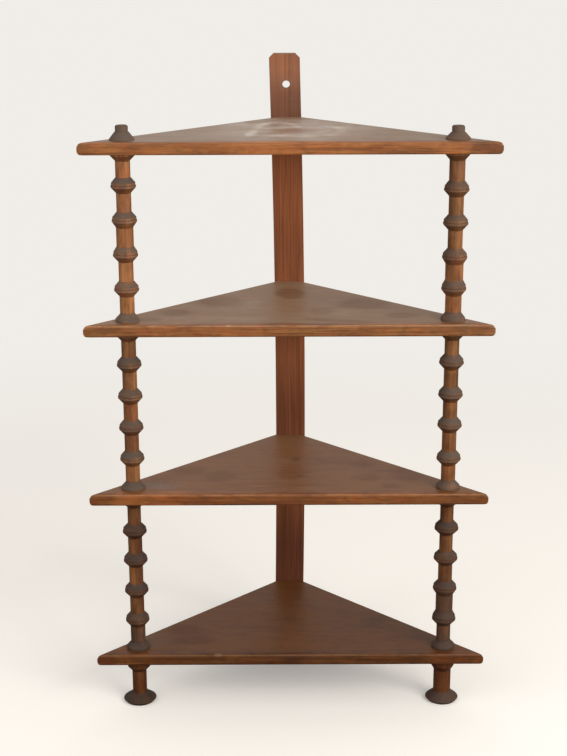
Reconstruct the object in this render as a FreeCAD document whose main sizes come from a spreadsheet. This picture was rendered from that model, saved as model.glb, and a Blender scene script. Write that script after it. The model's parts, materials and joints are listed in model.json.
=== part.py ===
import FreeCAD, Part
import math
import os
import Sketcher

# Corner shelf unit of stained wood. Four right-angled shelves stand on two turned front posts and are
# screwed to a flat batten behind their back corners. Millimetres, Z up, the front edges face -Y, and the
# origin is on the floor under the middle of the whole unit.

SIZES = {
    # The whole unit, from the floor to the batten's top.
    "unit_height": 820,
    # Shelves: the width is tip to tip along the front edge, and the two side edges make a right angle.
    "shelf_width": 500,
    "shelf_thickness": 15,
    "shelf_top_round": 3.5,
    "shelf_under_round": 2.5,
    # Back batten, bowed sideways as the old strip is. Its foot and its top stand left of the middle plane,
    # it rises above the top shelf, and its hanging hole is bored right of its own middle.
    "batten_width": 40,
    "batten_thickness": 10,
    "batten_rise": 82,
    "batten_clip": 6,
    "batten_bow": 4.8,
    "batten_foot_shift": -1.4,
    "batten_top_shift": -5.8,
    "hang_hole_diameter": 10,
    "hang_hole_drop": 39.8,
    "hang_hole_shift": 1.3,
    # Front posts: each axis in from the shelf tips and back from the front edge.
    "post_tip_inset": 51,
    "post_inset": 24,
    "foot_height": 61,
    # Spindles share the height between the shelves, each cut a little long or short of its even share.
    "spindle_lower_extra": 1.3,
    "spindle_middle_extra": -1.7,
    "spindle_upper_extra": 0.4,
    # Collar: the lip and cone at each end of a turned piece.
    "collar_diameter": 30,
    "collar_lip": 3,
    "collar_cone": 6.5,
    # Bead: a lower cone, a band with a ridge and a fine groove, and an upper cone.
    "bead_lower_cone": 7,
    "bead_band": 5.5,
    "bead_upper_cone": 6.5,
    "bead_ridge_diameter": 30.4,
    "bead_groove_diameter": 28.2,
    "bead_groove_width": 0.8,
    "bead_band_diameter": 29,
    "shaft_diameter": 18,
    # Shaft sections that came off the lathe thicker or thinner, counted from the spindle's lower end.
    "upper_left_shaft_3": 21,
    "upper_right_shaft_1": 20,
    "upper_right_shaft_2": 22,
    "upper_right_shaft_5": 19,
    "lower_left_shaft_1": 19,
    "lower_left_shaft_5": 17,
    "lower_right_shaft_2": 22,
    "lower_right_shaft_4": 17,
    "lower_right_shaft_5": 17,
    # Beads that were turned above or below their even spacing.
    "upper_left_bead_2_rise": 1.6,
    "upper_left_bead_3_rise": 2.6,
    "upper_left_bead_4_rise": 2.9,
    "upper_right_bead_2_rise": -2.1,
    "upper_right_bead_3_rise": -1.9,
    "upper_right_bead_4_rise": -2.2,
    "middle_left_bead_1_rise": 0.9,
    "middle_left_bead_2_rise": 1,
    "middle_left_bead_3_rise": 1,
    "middle_left_bead_4_rise": 1.5,
    "middle_right_bead_2_rise": 3.2,
    "middle_right_bead_3_rise": 2.2,
    "middle_right_bead_4_rise": 3.2,
    "lower_left_bead_1_rise": 0.6,
    "lower_left_bead_2_rise": 0.6,
    "lower_left_bead_3_rise": 1.5,
    "lower_right_bead_1_rise": 0.6,
    "lower_right_bead_2_rise": 2.2,
    "lower_right_bead_3_rise": 2.8,
    "lower_right_bead_4_rise": 2.5,
    # Finial: a thin lip, a cone that differs left and right, and a short round stub.
    "finial_lip": 1.5,
    "finial_left_cone": 8,
    "finial_right_cone": 6.5,
    "finial_neck_diameter": 17.4,
    "finial_stub_diameter": 15.4,
    "finial_stub_height": 8,
    "finial_stub_bevel": 1.2,
    "finial_cap": 5.5,
    # Foot: a collar with a deeper lip, a neck and a wide bun.
    "foot_lip": 10.5,
    "foot_left_neck": 18.6,
    "foot_right_neck": 22.4,
    "foot_bun_diameter": 43,
    "foot_bun_cone": 9,
    "foot_base_diameter": 37,
    "foot_base_height": 3.5,
    # Dowels that pass through the shelves into sockets in the turned pieces.
    "dowel_diameter": 8,
    "dowel_clearance": 0.1,
    "dowel_bevel": 0.8,
    "socket_depth": 18,
    "glue_room": 0.6,
    # Countersunk wood screws from behind the batten, two to a shelf.
    "screw_diameter": 3.5,
    "screw_head_diameter": 7,
    "screw_length": 35,
    "screw_point": 5,
    "screw_slot_width": 1,
    "screw_slot_depth": 0.9,
    "screw_spacing": 16,
    "screw_clearance": 0.1,
}

BEAD_COUNT = 4
FULL_TURN = 360
COUNTERSINK_ANGLE = 90
SLOT_TURN_STEP = 37
SAME_PLACE = 1e-6

doc = FreeCAD.newDocument("CornerShelf")
sheet = doc.addObject("Spreadsheet::Sheet", "Sizes")
for row, (alias, size) in enumerate(SIZES.items(), start=1):
    sheet.set(f"A{row}", alias)
    sheet.set(f"B{row}", str(size))
    sheet.setAlias(f"B{row}", alias)
doc.recompute()

# Places and lengths worked out from the driving sizes, as expressions.
CORNER_DEPTH = "((Sizes.shelf_width - Sizes.batten_width) / 2)"
FRONT_Y = f"(-({CORNER_DEPTH} + Sizes.batten_thickness) / 2)"
BACK_Y = f"({FRONT_Y} + {CORNER_DEPTH} + Sizes.batten_thickness)"
POST_Y = f"({FRONT_Y} + Sizes.post_inset)"
POST_X = {
    "left": "(Sizes.post_tip_inset - Sizes.shelf_width / 2)",
    "right": "(Sizes.shelf_width / 2 - Sizes.post_tip_inset)",
}
TIERS = (
    ("bottom", "lower", "lower_middle"),
    ("lower_middle", "middle", "upper_middle"),
    ("upper_middle", "upper", "top"),
)
BOARDS = f"{len(TIERS) + 1} * Sizes.shelf_thickness"
BETWEEN_SHELVES = f"(Sizes.unit_height - Sizes.batten_rise - Sizes.foot_height - {BOARDS})"
SHELF_Z = {"bottom": "Sizes.foot_height"}
SPINDLE_Z = {}
SPINDLE_LENGTH = {}
for shelf_below, tier_name, shelf_above in TIERS:
    SPINDLE_LENGTH[tier_name] = f"({BETWEEN_SHELVES} / {len(TIERS)} + Sizes.spindle_{tier_name}_extra)"
    SPINDLE_Z[tier_name] = f"({SHELF_Z[shelf_below]} + Sizes.shelf_thickness)"
    SHELF_Z[shelf_above] = f"({SPINDLE_Z[tier_name]} + {SPINDLE_LENGTH[tier_name]})"
FINIAL_Z = f"({SHELF_Z['top']} + Sizes.shelf_thickness)"
BATTEN_TOP = "Sizes.unit_height"
COLLAR_RADIUS = "(Sizes.collar_diameter / 2)"
COLLAR_HEIGHT = "(Sizes.collar_lip + Sizes.collar_cone)"
FINIAL_NECK_Z = {side: f"(Sizes.finial_lip + Sizes.finial_{side}_cone)" for side in POST_X}
FINIAL_HEIGHT = {side: f"({FINIAL_NECK_Z[side]} + Sizes.finial_stub_height)" for side in POST_X}
FINIAL_SOCKET = {side: f"({FINIAL_HEIGHT[side]} - Sizes.finial_cap)" for side in POST_X}
SOCKET_RADIUS = "(Sizes.dowel_diameter / 2 + Sizes.dowel_clearance)"
SCREW_X = {"left": "(-Sizes.screw_spacing / 2)", "right": "(Sizes.screw_spacing / 2)"}
SCREW_HOLE_DIAMETER = "(Sizes.screw_diameter + 2 * Sizes.screw_clearance)"

parts = []


def value(expression):
    """Number that an expression on the sheet gives."""
    return float(sheet.evalExpression(expression))


def place(piece, x, y, z):
    """Bind a piece's place to three expressions."""
    for axis, expression in zip("xyz", (x, y, z)):
        piece.setExpression(f"Placement.Base.{axis}", expression)


def new_body(label):
    """Empty body with its own label."""
    body = doc.addObject("PartDesign::Body", label)
    body.Label = label
    return body


def sketch_on(body, name, role):
    """Sketch on one of the body's own origin planes."""
    plane = next(item for item in body.Origin.OriginFeatures if item.Role == role)
    sketch = body.newObject("Sketcher::SketchObject", f"{body.Label}_{name}")
    sketch.AttachmentSupport = (plane, [""])
    sketch.MapMode = "FlatFace"
    return sketch


def bind_point(sketch, geometry, point, x, y):
    """Tie a sketch point's two distances from the origin to expressions."""
    for kind, expression in (("DistanceX", x), ("DistanceY", y)):
        distance = Sketcher.Constraint(kind, -1, 1, geometry, point, value(expression))
        index = sketch.addConstraint(distance)
        sketch.setExpression(f"Constraints[{index}]", expression)


def bind_radius(sketch, geometry, radius):
    """Tie a circle's or an arc's radius to an expression."""
    index = sketch.addConstraint(Sketcher.Constraint("Radius", geometry, value(radius)))
    sketch.setExpression(f"Constraints[{index}]", radius)


def vector(x, y):
    """Sketch point at two expressions."""
    return FreeCAD.Vector(value(x), value(y), 0)


def draw_outline(sketch, corners):
    """Closed outline of straight lines with every corner tied to its expressions."""
    count = len(corners)
    following = [(index + 1) % count for index in range(count)]
    points = [vector(x, y) for x, y in corners]
    sketch.addGeometry([Part.LineSegment(points[i], points[j]) for i, j in enumerate(following)], False)
    sketch.addConstraint([Sketcher.Constraint("Coincident", i, 2, j, 1) for i, j in enumerate(following)])
    for index, (x, y) in enumerate(corners):
        bind_point(sketch, index, 1, x, y)


def draw_circle(sketch, x, y, radius):
    """Circle with its centre and radius tied to expressions."""
    circle = Part.Circle(vector(x, y), FreeCAD.Vector(0, 0, 1), value(radius))
    index = sketch.addGeometry(circle, False)
    bind_point(sketch, index, 3, x, y)
    bind_radius(sketch, index, radius)


def pad_sketch(body, sketch, length):
    """Pad of a sketch to a bound length."""
    pad = body.newObject("PartDesign::Pad", f"{sketch.Label}_pad")
    pad.Profile = (sketch, [""])
    pad.setExpression("Length", length)
    doc.recompute()
    return pad


def cut_sketch(body, sketch, length):
    """Pocket that runs along the sketch's normal to a bound length, and has to take material away."""
    before = body.Shape.Volume
    pocket = body.newObject("PartDesign::Pocket", f"{sketch.Label}_cut")
    pocket.Profile = (sketch, [""])
    pocket.Reversed = True
    pocket.setExpression("Length", length)
    doc.recompute()
    if body.Shape.Volume >= before:
        raise RuntimeError(f"{sketch.Label} cut nothing")


def turn(label, profile):
    """Body turned about its own vertical axis from a closed half profile of (radius, height) expressions."""
    body = new_body(label)
    sketch = sketch_on(body, "profile", "XZ_Plane")
    draw_outline(sketch, profile)
    turning = body.newObject("PartDesign::Revolution", f"{label}_turning")
    turning.Profile = (sketch, [""])
    turning.ReferenceAxis = (sketch, ["V_Axis"])
    turning.Angle = FULL_TURN
    return body


def round_edges(body, base, height, radius):
    """Round the front and side edges at one height, and leave the back flat square against the batten."""
    depth = value(CORNER_DEPTH)
    names = []
    for index, edge in enumerate(base.Shape.Edges, start=1):
        ends = [vertex.Point for vertex in edge.Vertexes]
        level = all(math.isclose(end.z, height, abs_tol=SAME_PLACE) for end in ends)
        behind = all(math.isclose(end.y, depth, abs_tol=SAME_PLACE) for end in ends)
        if len(ends) == 2 and level and not behind:
            names.append(f"Edge{index}")
    rounding = body.newObject("PartDesign::Fillet", f"{base.Label}_round")
    rounding.Base = (base, names)
    rounding.setExpression("Radius", radius)
    doc.recompute()
    return rounding


def make_shelf(level):
    """Three-cornered shelf with a dowel hole at each post and two blind screw holes in its back flat."""
    body = new_body(f"shelf_{level}")
    outline = sketch_on(body, "outline", "XY_Plane")
    tip = "Sizes.shelf_width / 2"
    flat = "Sizes.batten_width / 2"
    draw_outline(outline, [(f"-{tip}", "0"), (tip, "0"), (flat, CORNER_DEPTH), (f"-{flat}", CORNER_DEPTH)])
    for post_x in POST_X.values():
        draw_circle(outline, post_x, "Sizes.post_inset", SOCKET_RADIUS)
    board = pad_sketch(body, outline, "Sizes.shelf_thickness")
    upper = round_edges(body, board, value("Sizes.shelf_thickness"), "Sizes.shelf_top_round")
    round_edges(body, upper, 0, "Sizes.shelf_under_round")
    screw_holes = sketch_on(body, "screw_holes", "XZ_Plane")
    screw_holes.setExpression("AttachmentOffset.Base.z", f"-{CORNER_DEPTH}")
    for screw_x in SCREW_X.values():
        draw_circle(screw_holes, screw_x, "Sizes.shelf_thickness / 2", f"{SCREW_HOLE_DIAMETER} / 2")
    cut_sketch(body, screw_holes, "Sizes.screw_length - Sizes.batten_thickness + Sizes.glue_room")
    place(body, "0", FRONT_Y, SHELF_Z[level])
    parts.append(body)


def bowed_side(foot, top, bow):
    """Arc from a foot to a top point that bulges towards +X by the bow."""
    middle = (foot + top) / 2 + FreeCAD.Vector(bow, 0, 0)
    return Part.ArcOfCircle(foot, middle, top)


def draw_batten(sketch):
    """Batten outline: a level foot, two bowed sides of one radius and a top with clipped corners."""
    half = "Sizes.batten_width / 2"
    shoulder = f"({BATTEN_TOP} - Sizes.batten_clip)"
    foot_left = (f"Sizes.batten_foot_shift - {half}", "0")
    foot_right = (f"Sizes.batten_foot_shift + {half}", "0")
    shoulder_right = (f"Sizes.batten_top_shift + {half}", shoulder)
    clip_right = (f"Sizes.batten_top_shift + {half} - Sizes.batten_clip", BATTEN_TOP)
    clip_left = (f"Sizes.batten_top_shift - {half} + Sizes.batten_clip", BATTEN_TOP)
    shoulder_left = (f"Sizes.batten_top_shift - {half}", shoulder)
    bow = value("Sizes.batten_bow")
    sketch.addGeometry(
        [
            Part.LineSegment(vector(*foot_left), vector(*foot_right)),
            bowed_side(vector(*foot_right), vector(*shoulder_right), bow),
            Part.LineSegment(vector(*shoulder_right), vector(*clip_right)),
            Part.LineSegment(vector(*clip_right), vector(*clip_left)),
            Part.LineSegment(vector(*clip_left), vector(*shoulder_left)),
            bowed_side(vector(*foot_left), vector(*shoulder_left), bow),
        ],
        False,
    )
    foot_line, right_side, clip_line, top_line, left_clip_line, left_side = range(6)
    joins = (
        (foot_line, 2, right_side, 1),
        (right_side, 2, clip_line, 1),
        (clip_line, 2, top_line, 1),
        (top_line, 2, left_clip_line, 1),
        (left_clip_line, 2, left_side, 2),
        (left_side, 1, foot_line, 1),
    )
    sketch.addConstraint([Sketcher.Constraint("Coincident", *join) for join in joins])
    bind_point(sketch, foot_line, 1, *foot_left)
    bind_point(sketch, foot_line, 2, *foot_right)
    bind_point(sketch, clip_line, 1, *shoulder_right)
    bind_point(sketch, top_line, 1, *clip_right)
    bind_point(sketch, top_line, 2, *clip_left)
    bind_point(sketch, left_clip_line, 2, *shoulder_left)
    lean = "(Sizes.batten_top_shift - Sizes.batten_foot_shift)"
    chord_squared = f"({shoulder} * {shoulder} + {lean} * {lean})"
    bow_radius = f"({chord_squared} / (8 * Sizes.batten_bow) + Sizes.batten_bow / 2)"
    bind_radius(sketch, right_side, bow_radius)
    bind_radius(sketch, left_side, bow_radius)


def make_batten():
    """Bowed strip up the back corner with its hanging hole and countersunk screw holes."""
    body = new_body("back_batten")
    outline = sketch_on(body, "outline", "XZ_Plane")
    draw_batten(outline)
    hang_z = f"({BATTEN_TOP} - Sizes.hang_hole_drop)"
    along = f"({hang_z} / ({BATTEN_TOP} - Sizes.batten_clip))"
    chord_x = f"Sizes.batten_foot_shift + (Sizes.batten_top_shift - Sizes.batten_foot_shift) * {along}"
    hang_x = f"{chord_x} + 4 * Sizes.batten_bow * {along} * (1 - {along}) + Sizes.hang_hole_shift"
    draw_circle(outline, hang_x, hang_z, "Sizes.hang_hole_diameter / 2")
    pad_sketch(body, outline, "Sizes.batten_thickness")
    screw_holes = sketch_on(body, "screw_holes", "XZ_Plane")
    for shelf_z in SHELF_Z.values():
        for screw_x in SCREW_X.values():
            screw_z = f"({shelf_z} + Sizes.shelf_thickness / 2)"
            draw_circle(screw_holes, screw_x, screw_z, f"{SCREW_HOLE_DIAMETER} / 2")
    doc.recompute()
    before = body.Shape.Volume
    sinking = body.newObject("PartDesign::Hole", "back_batten_countersinks")
    sinking.Profile = (screw_holes, [""])
    doc.recompute()
    sinking.Reversed = True
    sinking.DepthType = "ThroughAll"
    sinking.HoleCutType = "Countersink"
    sinking.HoleCutCustomValues = True
    sinking.HoleCutCountersinkAngle = COUNTERSINK_ANGLE
    sinking.setExpression("Diameter", SCREW_HOLE_DIAMETER)
    sinking.setExpression("HoleCutDiameter", "Sizes.screw_head_diameter + 2 * Sizes.screw_clearance")
    doc.recompute()
    if body.Shape.Volume >= before:
        raise RuntimeError("the screw holes missed the batten")
    place(body, "0", BACK_Y, "0")
    parts.append(body)


def shaft_radius(spindle, section):
    """Radius of one shaft section: its own size where it differs, and the usual one elsewhere."""
    own = f"{spindle}_shaft_{section}"
    alias = own if own in SIZES else "shaft_diameter"
    return f"(Sizes.{alias} / 2)"


def bead_centre(spindle, length, bead):
    """Height of one bead's groove above the spindle's lower end."""
    even = f"{length} * {bead} / {BEAD_COUNT + 1}"
    own = f"{spindle}_bead_{bead}_rise"
    return f"({even} + Sizes.{own})" if own in SIZES else f"({even})"


def bead_profile(centre, shaft_below, shaft_above):
    """Outside corners of one bead, from its lower cone to its upper one."""
    band_foot = f"{centre} - Sizes.bead_band / 2"
    band_top = f"{centre} + Sizes.bead_band / 2"
    return [
        (shaft_below, f"{band_foot} - Sizes.bead_lower_cone"),
        ("Sizes.bead_ridge_diameter / 2", band_foot),
        ("Sizes.bead_ridge_diameter / 2", f"{centre} - Sizes.bead_groove_width / 2"),
        ("Sizes.bead_groove_diameter / 2", centre),
        ("Sizes.bead_band_diameter / 2", f"{centre} + Sizes.bead_groove_width / 2"),
        ("Sizes.bead_band_diameter / 2", band_top),
        (shaft_above, f"{band_top} + Sizes.bead_upper_cone"),
    ]


def lower_socket(depth):
    """Corners of the dowel socket in a piece's lower end, from the axis out."""
    return [("0", depth), (SOCKET_RADIUS, depth), (SOCKET_RADIUS, "0")]


def upper_socket(top, depth):
    """Corners of the dowel socket in a piece's upper end, from the rim in to the axis."""
    return [(SOCKET_RADIUS, top), (SOCKET_RADIUS, f"{top} - {depth}"), ("0", f"{top} - {depth}")]


def make_spindle(tier, side):
    """Turned spindle between two shelves: a collar at each end and evenly spaced beads on a round shaft."""
    spindle = f"{tier}_{side}"
    length = SPINDLE_LENGTH[tier]
    shafts = [shaft_radius(spindle, section) for section in range(1, BEAD_COUNT + 2)]
    profile = lower_socket("Sizes.socket_depth")
    profile += [
        (COLLAR_RADIUS, "0"),
        (COLLAR_RADIUS, "Sizes.collar_lip"),
        (shafts[0], COLLAR_HEIGHT),
    ]
    for bead, (shaft_below, shaft_above) in enumerate(zip(shafts, shafts[1:]), start=1):
        profile += bead_profile(bead_centre(spindle, length, bead), shaft_below, shaft_above)
    profile += [
        (shafts[-1], f"{length} - {COLLAR_HEIGHT}"),
        (COLLAR_RADIUS, f"{length} - Sizes.collar_lip"),
        (COLLAR_RADIUS, length),
    ]
    profile += upper_socket(length, "Sizes.socket_depth")
    body = turn(f"spindle_{spindle}", profile)
    place(body, POST_X[side], POST_Y, SPINDLE_Z[tier])
    parts.append(body)


def make_foot(side):
    """Turned foot under the bottom shelf: a wide bun, a neck and a collar."""
    neck = f"Sizes.foot_{side}_neck / 2"
    height = "Sizes.foot_height"
    profile = [
        ("0", "0"),
        ("Sizes.foot_base_diameter / 2", "0"),
        ("Sizes.foot_bun_diameter / 2", "Sizes.foot_base_height"),
        (neck, "Sizes.foot_base_height + Sizes.foot_bun_cone"),
        (neck, f"{height} - Sizes.foot_lip - Sizes.collar_cone"),
        (COLLAR_RADIUS, f"{height} - Sizes.foot_lip"),
        (COLLAR_RADIUS, height),
    ]
    body = turn(f"foot_{side}", profile + upper_socket(height, "Sizes.socket_depth"))
    place(body, POST_X[side], POST_Y, "0")
    parts.append(body)


def make_finial(side):
    """Turned finial on the top shelf: a lipped cone that ends in a short stub."""
    stub = "Sizes.finial_stub_diameter / 2"
    height = FINIAL_HEIGHT[side]
    profile = lower_socket(FINIAL_SOCKET[side])
    profile += [
        (COLLAR_RADIUS, "0"),
        (COLLAR_RADIUS, "Sizes.finial_lip"),
        ("Sizes.finial_neck_diameter / 2", FINIAL_NECK_Z[side]),
        (stub, FINIAL_NECK_Z[side]),
        (stub, f"{height} - Sizes.finial_stub_bevel"),
        (f"{stub} - Sizes.finial_stub_bevel", height),
        ("0", height),
    ]
    body = turn(f"finial_{side}", profile)
    place(body, POST_X[side], POST_Y, FINIAL_Z)
    parts.append(body)


def make_dowel(level, side):
    """Bevelled dowel through one shelf, into the sockets below and above it."""
    depth_above = FINIAL_SOCKET[side] if level == "top" else "Sizes.socket_depth"
    length = f"(Sizes.socket_depth + Sizes.shelf_thickness + {depth_above} - 2 * Sizes.glue_room)"
    radius = "Sizes.dowel_diameter / 2"
    profile = [
        ("0", "0"),
        (f"{radius} - Sizes.dowel_bevel", "0"),
        (radius, "Sizes.dowel_bevel"),
        (radius, f"{length} - Sizes.dowel_bevel"),
        (f"{radius} - Sizes.dowel_bevel", length),
        ("0", length),
    ]
    body = turn(f"dowel_{level}_{side}", profile)
    place(body, POST_X[side], POST_Y, f"{SHELF_Z[level]} - Sizes.socket_depth + Sizes.glue_room")
    parts.append(body)


def make_screw():
    """One slotted countersunk wood screw, its head flush with the origin and its point up."""
    head = "Sizes.screw_head_diameter / 2"
    shank = "Sizes.screw_diameter / 2"
    head_height = f"({head} - {shank}) / {math.tan(math.radians(COUNTERSINK_ANGLE / 2))}"
    profile = [
        ("0", "0"),
        (head, "0"),
        (shank, head_height),
        (shank, "Sizes.screw_length - Sizes.screw_point"),
        ("0", "Sizes.screw_length"),
    ]
    body = turn("screw", profile)
    doc.recompute()
    slot = sketch_on(body, "slot", "XY_Plane")
    half_slot = "Sizes.screw_slot_width / 2"
    draw_outline(
        slot,
        [
            (f"-{head}", f"-{half_slot}"),
            (head, f"-{half_slot}"),
            (head, half_slot),
            (f"-{head}", half_slot),
        ],
    )
    cut_sketch(body, slot, "Sizes.screw_slot_depth")
    return body


def make_screws():
    """All batten screws as one node, each driven to its own slot angle."""
    screw = make_screw()
    screws = []
    for level, shelf_z in SHELF_Z.items():
        for side, screw_x in SCREW_X.items():
            driven = doc.addObject("App::Link", f"screw_{level}_{side}")
            driven.LinkedObject = screw
            slot_turn = FreeCAD.Rotation(FreeCAD.Vector(0, 0, 1), SLOT_TURN_STEP * len(screws))
            into_batten = FreeCAD.Rotation(FreeCAD.Vector(1, 0, 0), FULL_TURN / 4)
            driven.Placement = FreeCAD.Placement(FreeCAD.Vector(), into_batten * slot_turn)
            place(driven, screw_x, BACK_Y, f"{shelf_z} + Sizes.shelf_thickness / 2")
            screws.append(driven)
    group = doc.addObject("Part::Compound", "batten_screws")
    group.Label = "batten_screws"
    group.Links = screws
    parts.append(group)


for shelf_level in SHELF_Z:
    make_shelf(shelf_level)
make_batten()
for post_side in POST_X:
    make_foot(post_side)
    for _, tier_name, _ in TIERS:
        make_spindle(tier_name, post_side)
    make_finial(post_side)
    for shelf_level in SHELF_Z:
        make_dowel(shelf_level, post_side)
make_screws()
doc.recompute()

for item in doc.Objects:
    if "Invalid" in item.State or "Error" in item.State:
        raise RuntimeError(f"{item.Label} did not compute")
for piece in parts:
    if piece.Shape.isNull() or not piece.Shape.isValid():
        raise RuntimeError(f"{piece.Label} has no valid shape")

os.makedirs("parts", exist_ok=True)
for piece in parts:
    piece.Shape.exportStep(f"parts/{piece.Label}.step")
    print(piece.Label, len(piece.Shape.Solids), round(piece.Shape.Volume), "mm3")
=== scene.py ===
"""Looks of a corner shelf unit of stained wood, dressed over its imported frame.

The boards, the back batten and the turned posts are modelled anew where the frame has them, with softened
arrises and small marks of the hand. The hidden dowels and the batten screws keep the frame's own solids.
Metres, Z up, the front edges face -Y.
"""

import json
import logging
import math
from collections.abc import Callable, Sequence
from dataclasses import dataclass, field, replace
from enum import Enum
from functools import partial, reduce
from itertools import groupby
from typing import ClassVar

import bmesh
import bpy
import numpy as np
from mathutils import Matrix, Vector


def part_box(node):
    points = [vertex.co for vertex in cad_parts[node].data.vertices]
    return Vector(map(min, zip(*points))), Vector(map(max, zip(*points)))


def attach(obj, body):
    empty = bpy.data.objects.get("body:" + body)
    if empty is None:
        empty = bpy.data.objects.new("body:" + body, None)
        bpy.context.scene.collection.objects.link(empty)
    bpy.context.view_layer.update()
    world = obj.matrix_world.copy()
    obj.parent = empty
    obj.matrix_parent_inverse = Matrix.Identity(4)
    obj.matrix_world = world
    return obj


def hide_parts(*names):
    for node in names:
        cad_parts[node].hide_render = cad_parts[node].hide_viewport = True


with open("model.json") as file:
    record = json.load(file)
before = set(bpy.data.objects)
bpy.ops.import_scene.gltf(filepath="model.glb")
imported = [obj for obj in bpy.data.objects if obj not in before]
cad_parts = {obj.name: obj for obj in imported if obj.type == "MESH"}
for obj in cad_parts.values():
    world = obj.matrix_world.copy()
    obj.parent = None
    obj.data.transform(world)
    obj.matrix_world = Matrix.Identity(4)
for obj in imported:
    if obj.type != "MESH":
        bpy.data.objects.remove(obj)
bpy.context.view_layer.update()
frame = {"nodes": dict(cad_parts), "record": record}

LOG = logging.getLogger("corner_shelf")
MM = 0.001
SAME_PLACE = 1e-6
ARRIS_TURN = math.radians(35)
FLAT_SMOOTH = math.radians(40)
ROUND_SMOOTH = math.radians(60)

Colour = tuple[float, float, float, float]
Ring = tuple[float, float]
Socket = bpy.types.NodeSocket
Piece = bpy.types.Object
Part = bmesh.types.BMVert | bmesh.types.BMEdge


def srgb(red: int, green: int, blue: int) -> Colour:
    """Linear colour of an sRGB one.

    Args:
        red: Red from 0 to 255.
        green: Green from 0 to 255.
        blue: Blue from 0 to 255.

    Returns:
        The linear colour with full alpha.
    """

    def linear(channel: int) -> float:
        """Linear value of one channel."""
        share = channel / 255
        return share / 12.92 if share <= 0.04045 else ((share + 0.055) / 1.055) ** 2.4

    return (linear(red), linear(green), linear(blue), 1.0)


class Side(Enum):
    """The two front posts."""

    LEFT = "left"
    RIGHT = "right"


class Level(Enum):
    """The four shelves, from the floor up."""

    BOTTOM = "bottom"
    LOWER_MIDDLE = "lower_middle"
    UPPER_MIDDLE = "upper_middle"
    TOP = "top"


class Tier(Enum):
    """The three spindles of a post, from the floor up."""

    LOWER = "lower"
    MIDDLE = "middle"
    UPPER = "upper"


class Fibre(Enum):
    """Which way a piece's fibres run, as the turn that lays them along X."""

    ALONG_X = (0.0, 0.0, 0.0)
    ALONG_Z = (0.0, math.pi / 2, 0.0)


class MarkKind(Enum):
    """What a mark does to the wood under it."""

    CLEAN = "less dust"
    WIPED = "paler dust"
    # Also painted shade where an even one darkens the right part of a shelf top.
    SOILED = "darker dust"
    # Also painted shade in the batten's lower bands, at the right of the top shelf's front edge and along
    # the lower middle shelf's lower front arris.
    AGED = "darker stain"
    # Also painted light in the batten's band under the top shelf.
    FADED = "lighter stain"
    CHIPPED = "bare wood"


class Element(Enum):
    """What a selection picks in edit mode."""

    VERT = "verts"
    EDGE = "edges"


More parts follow.
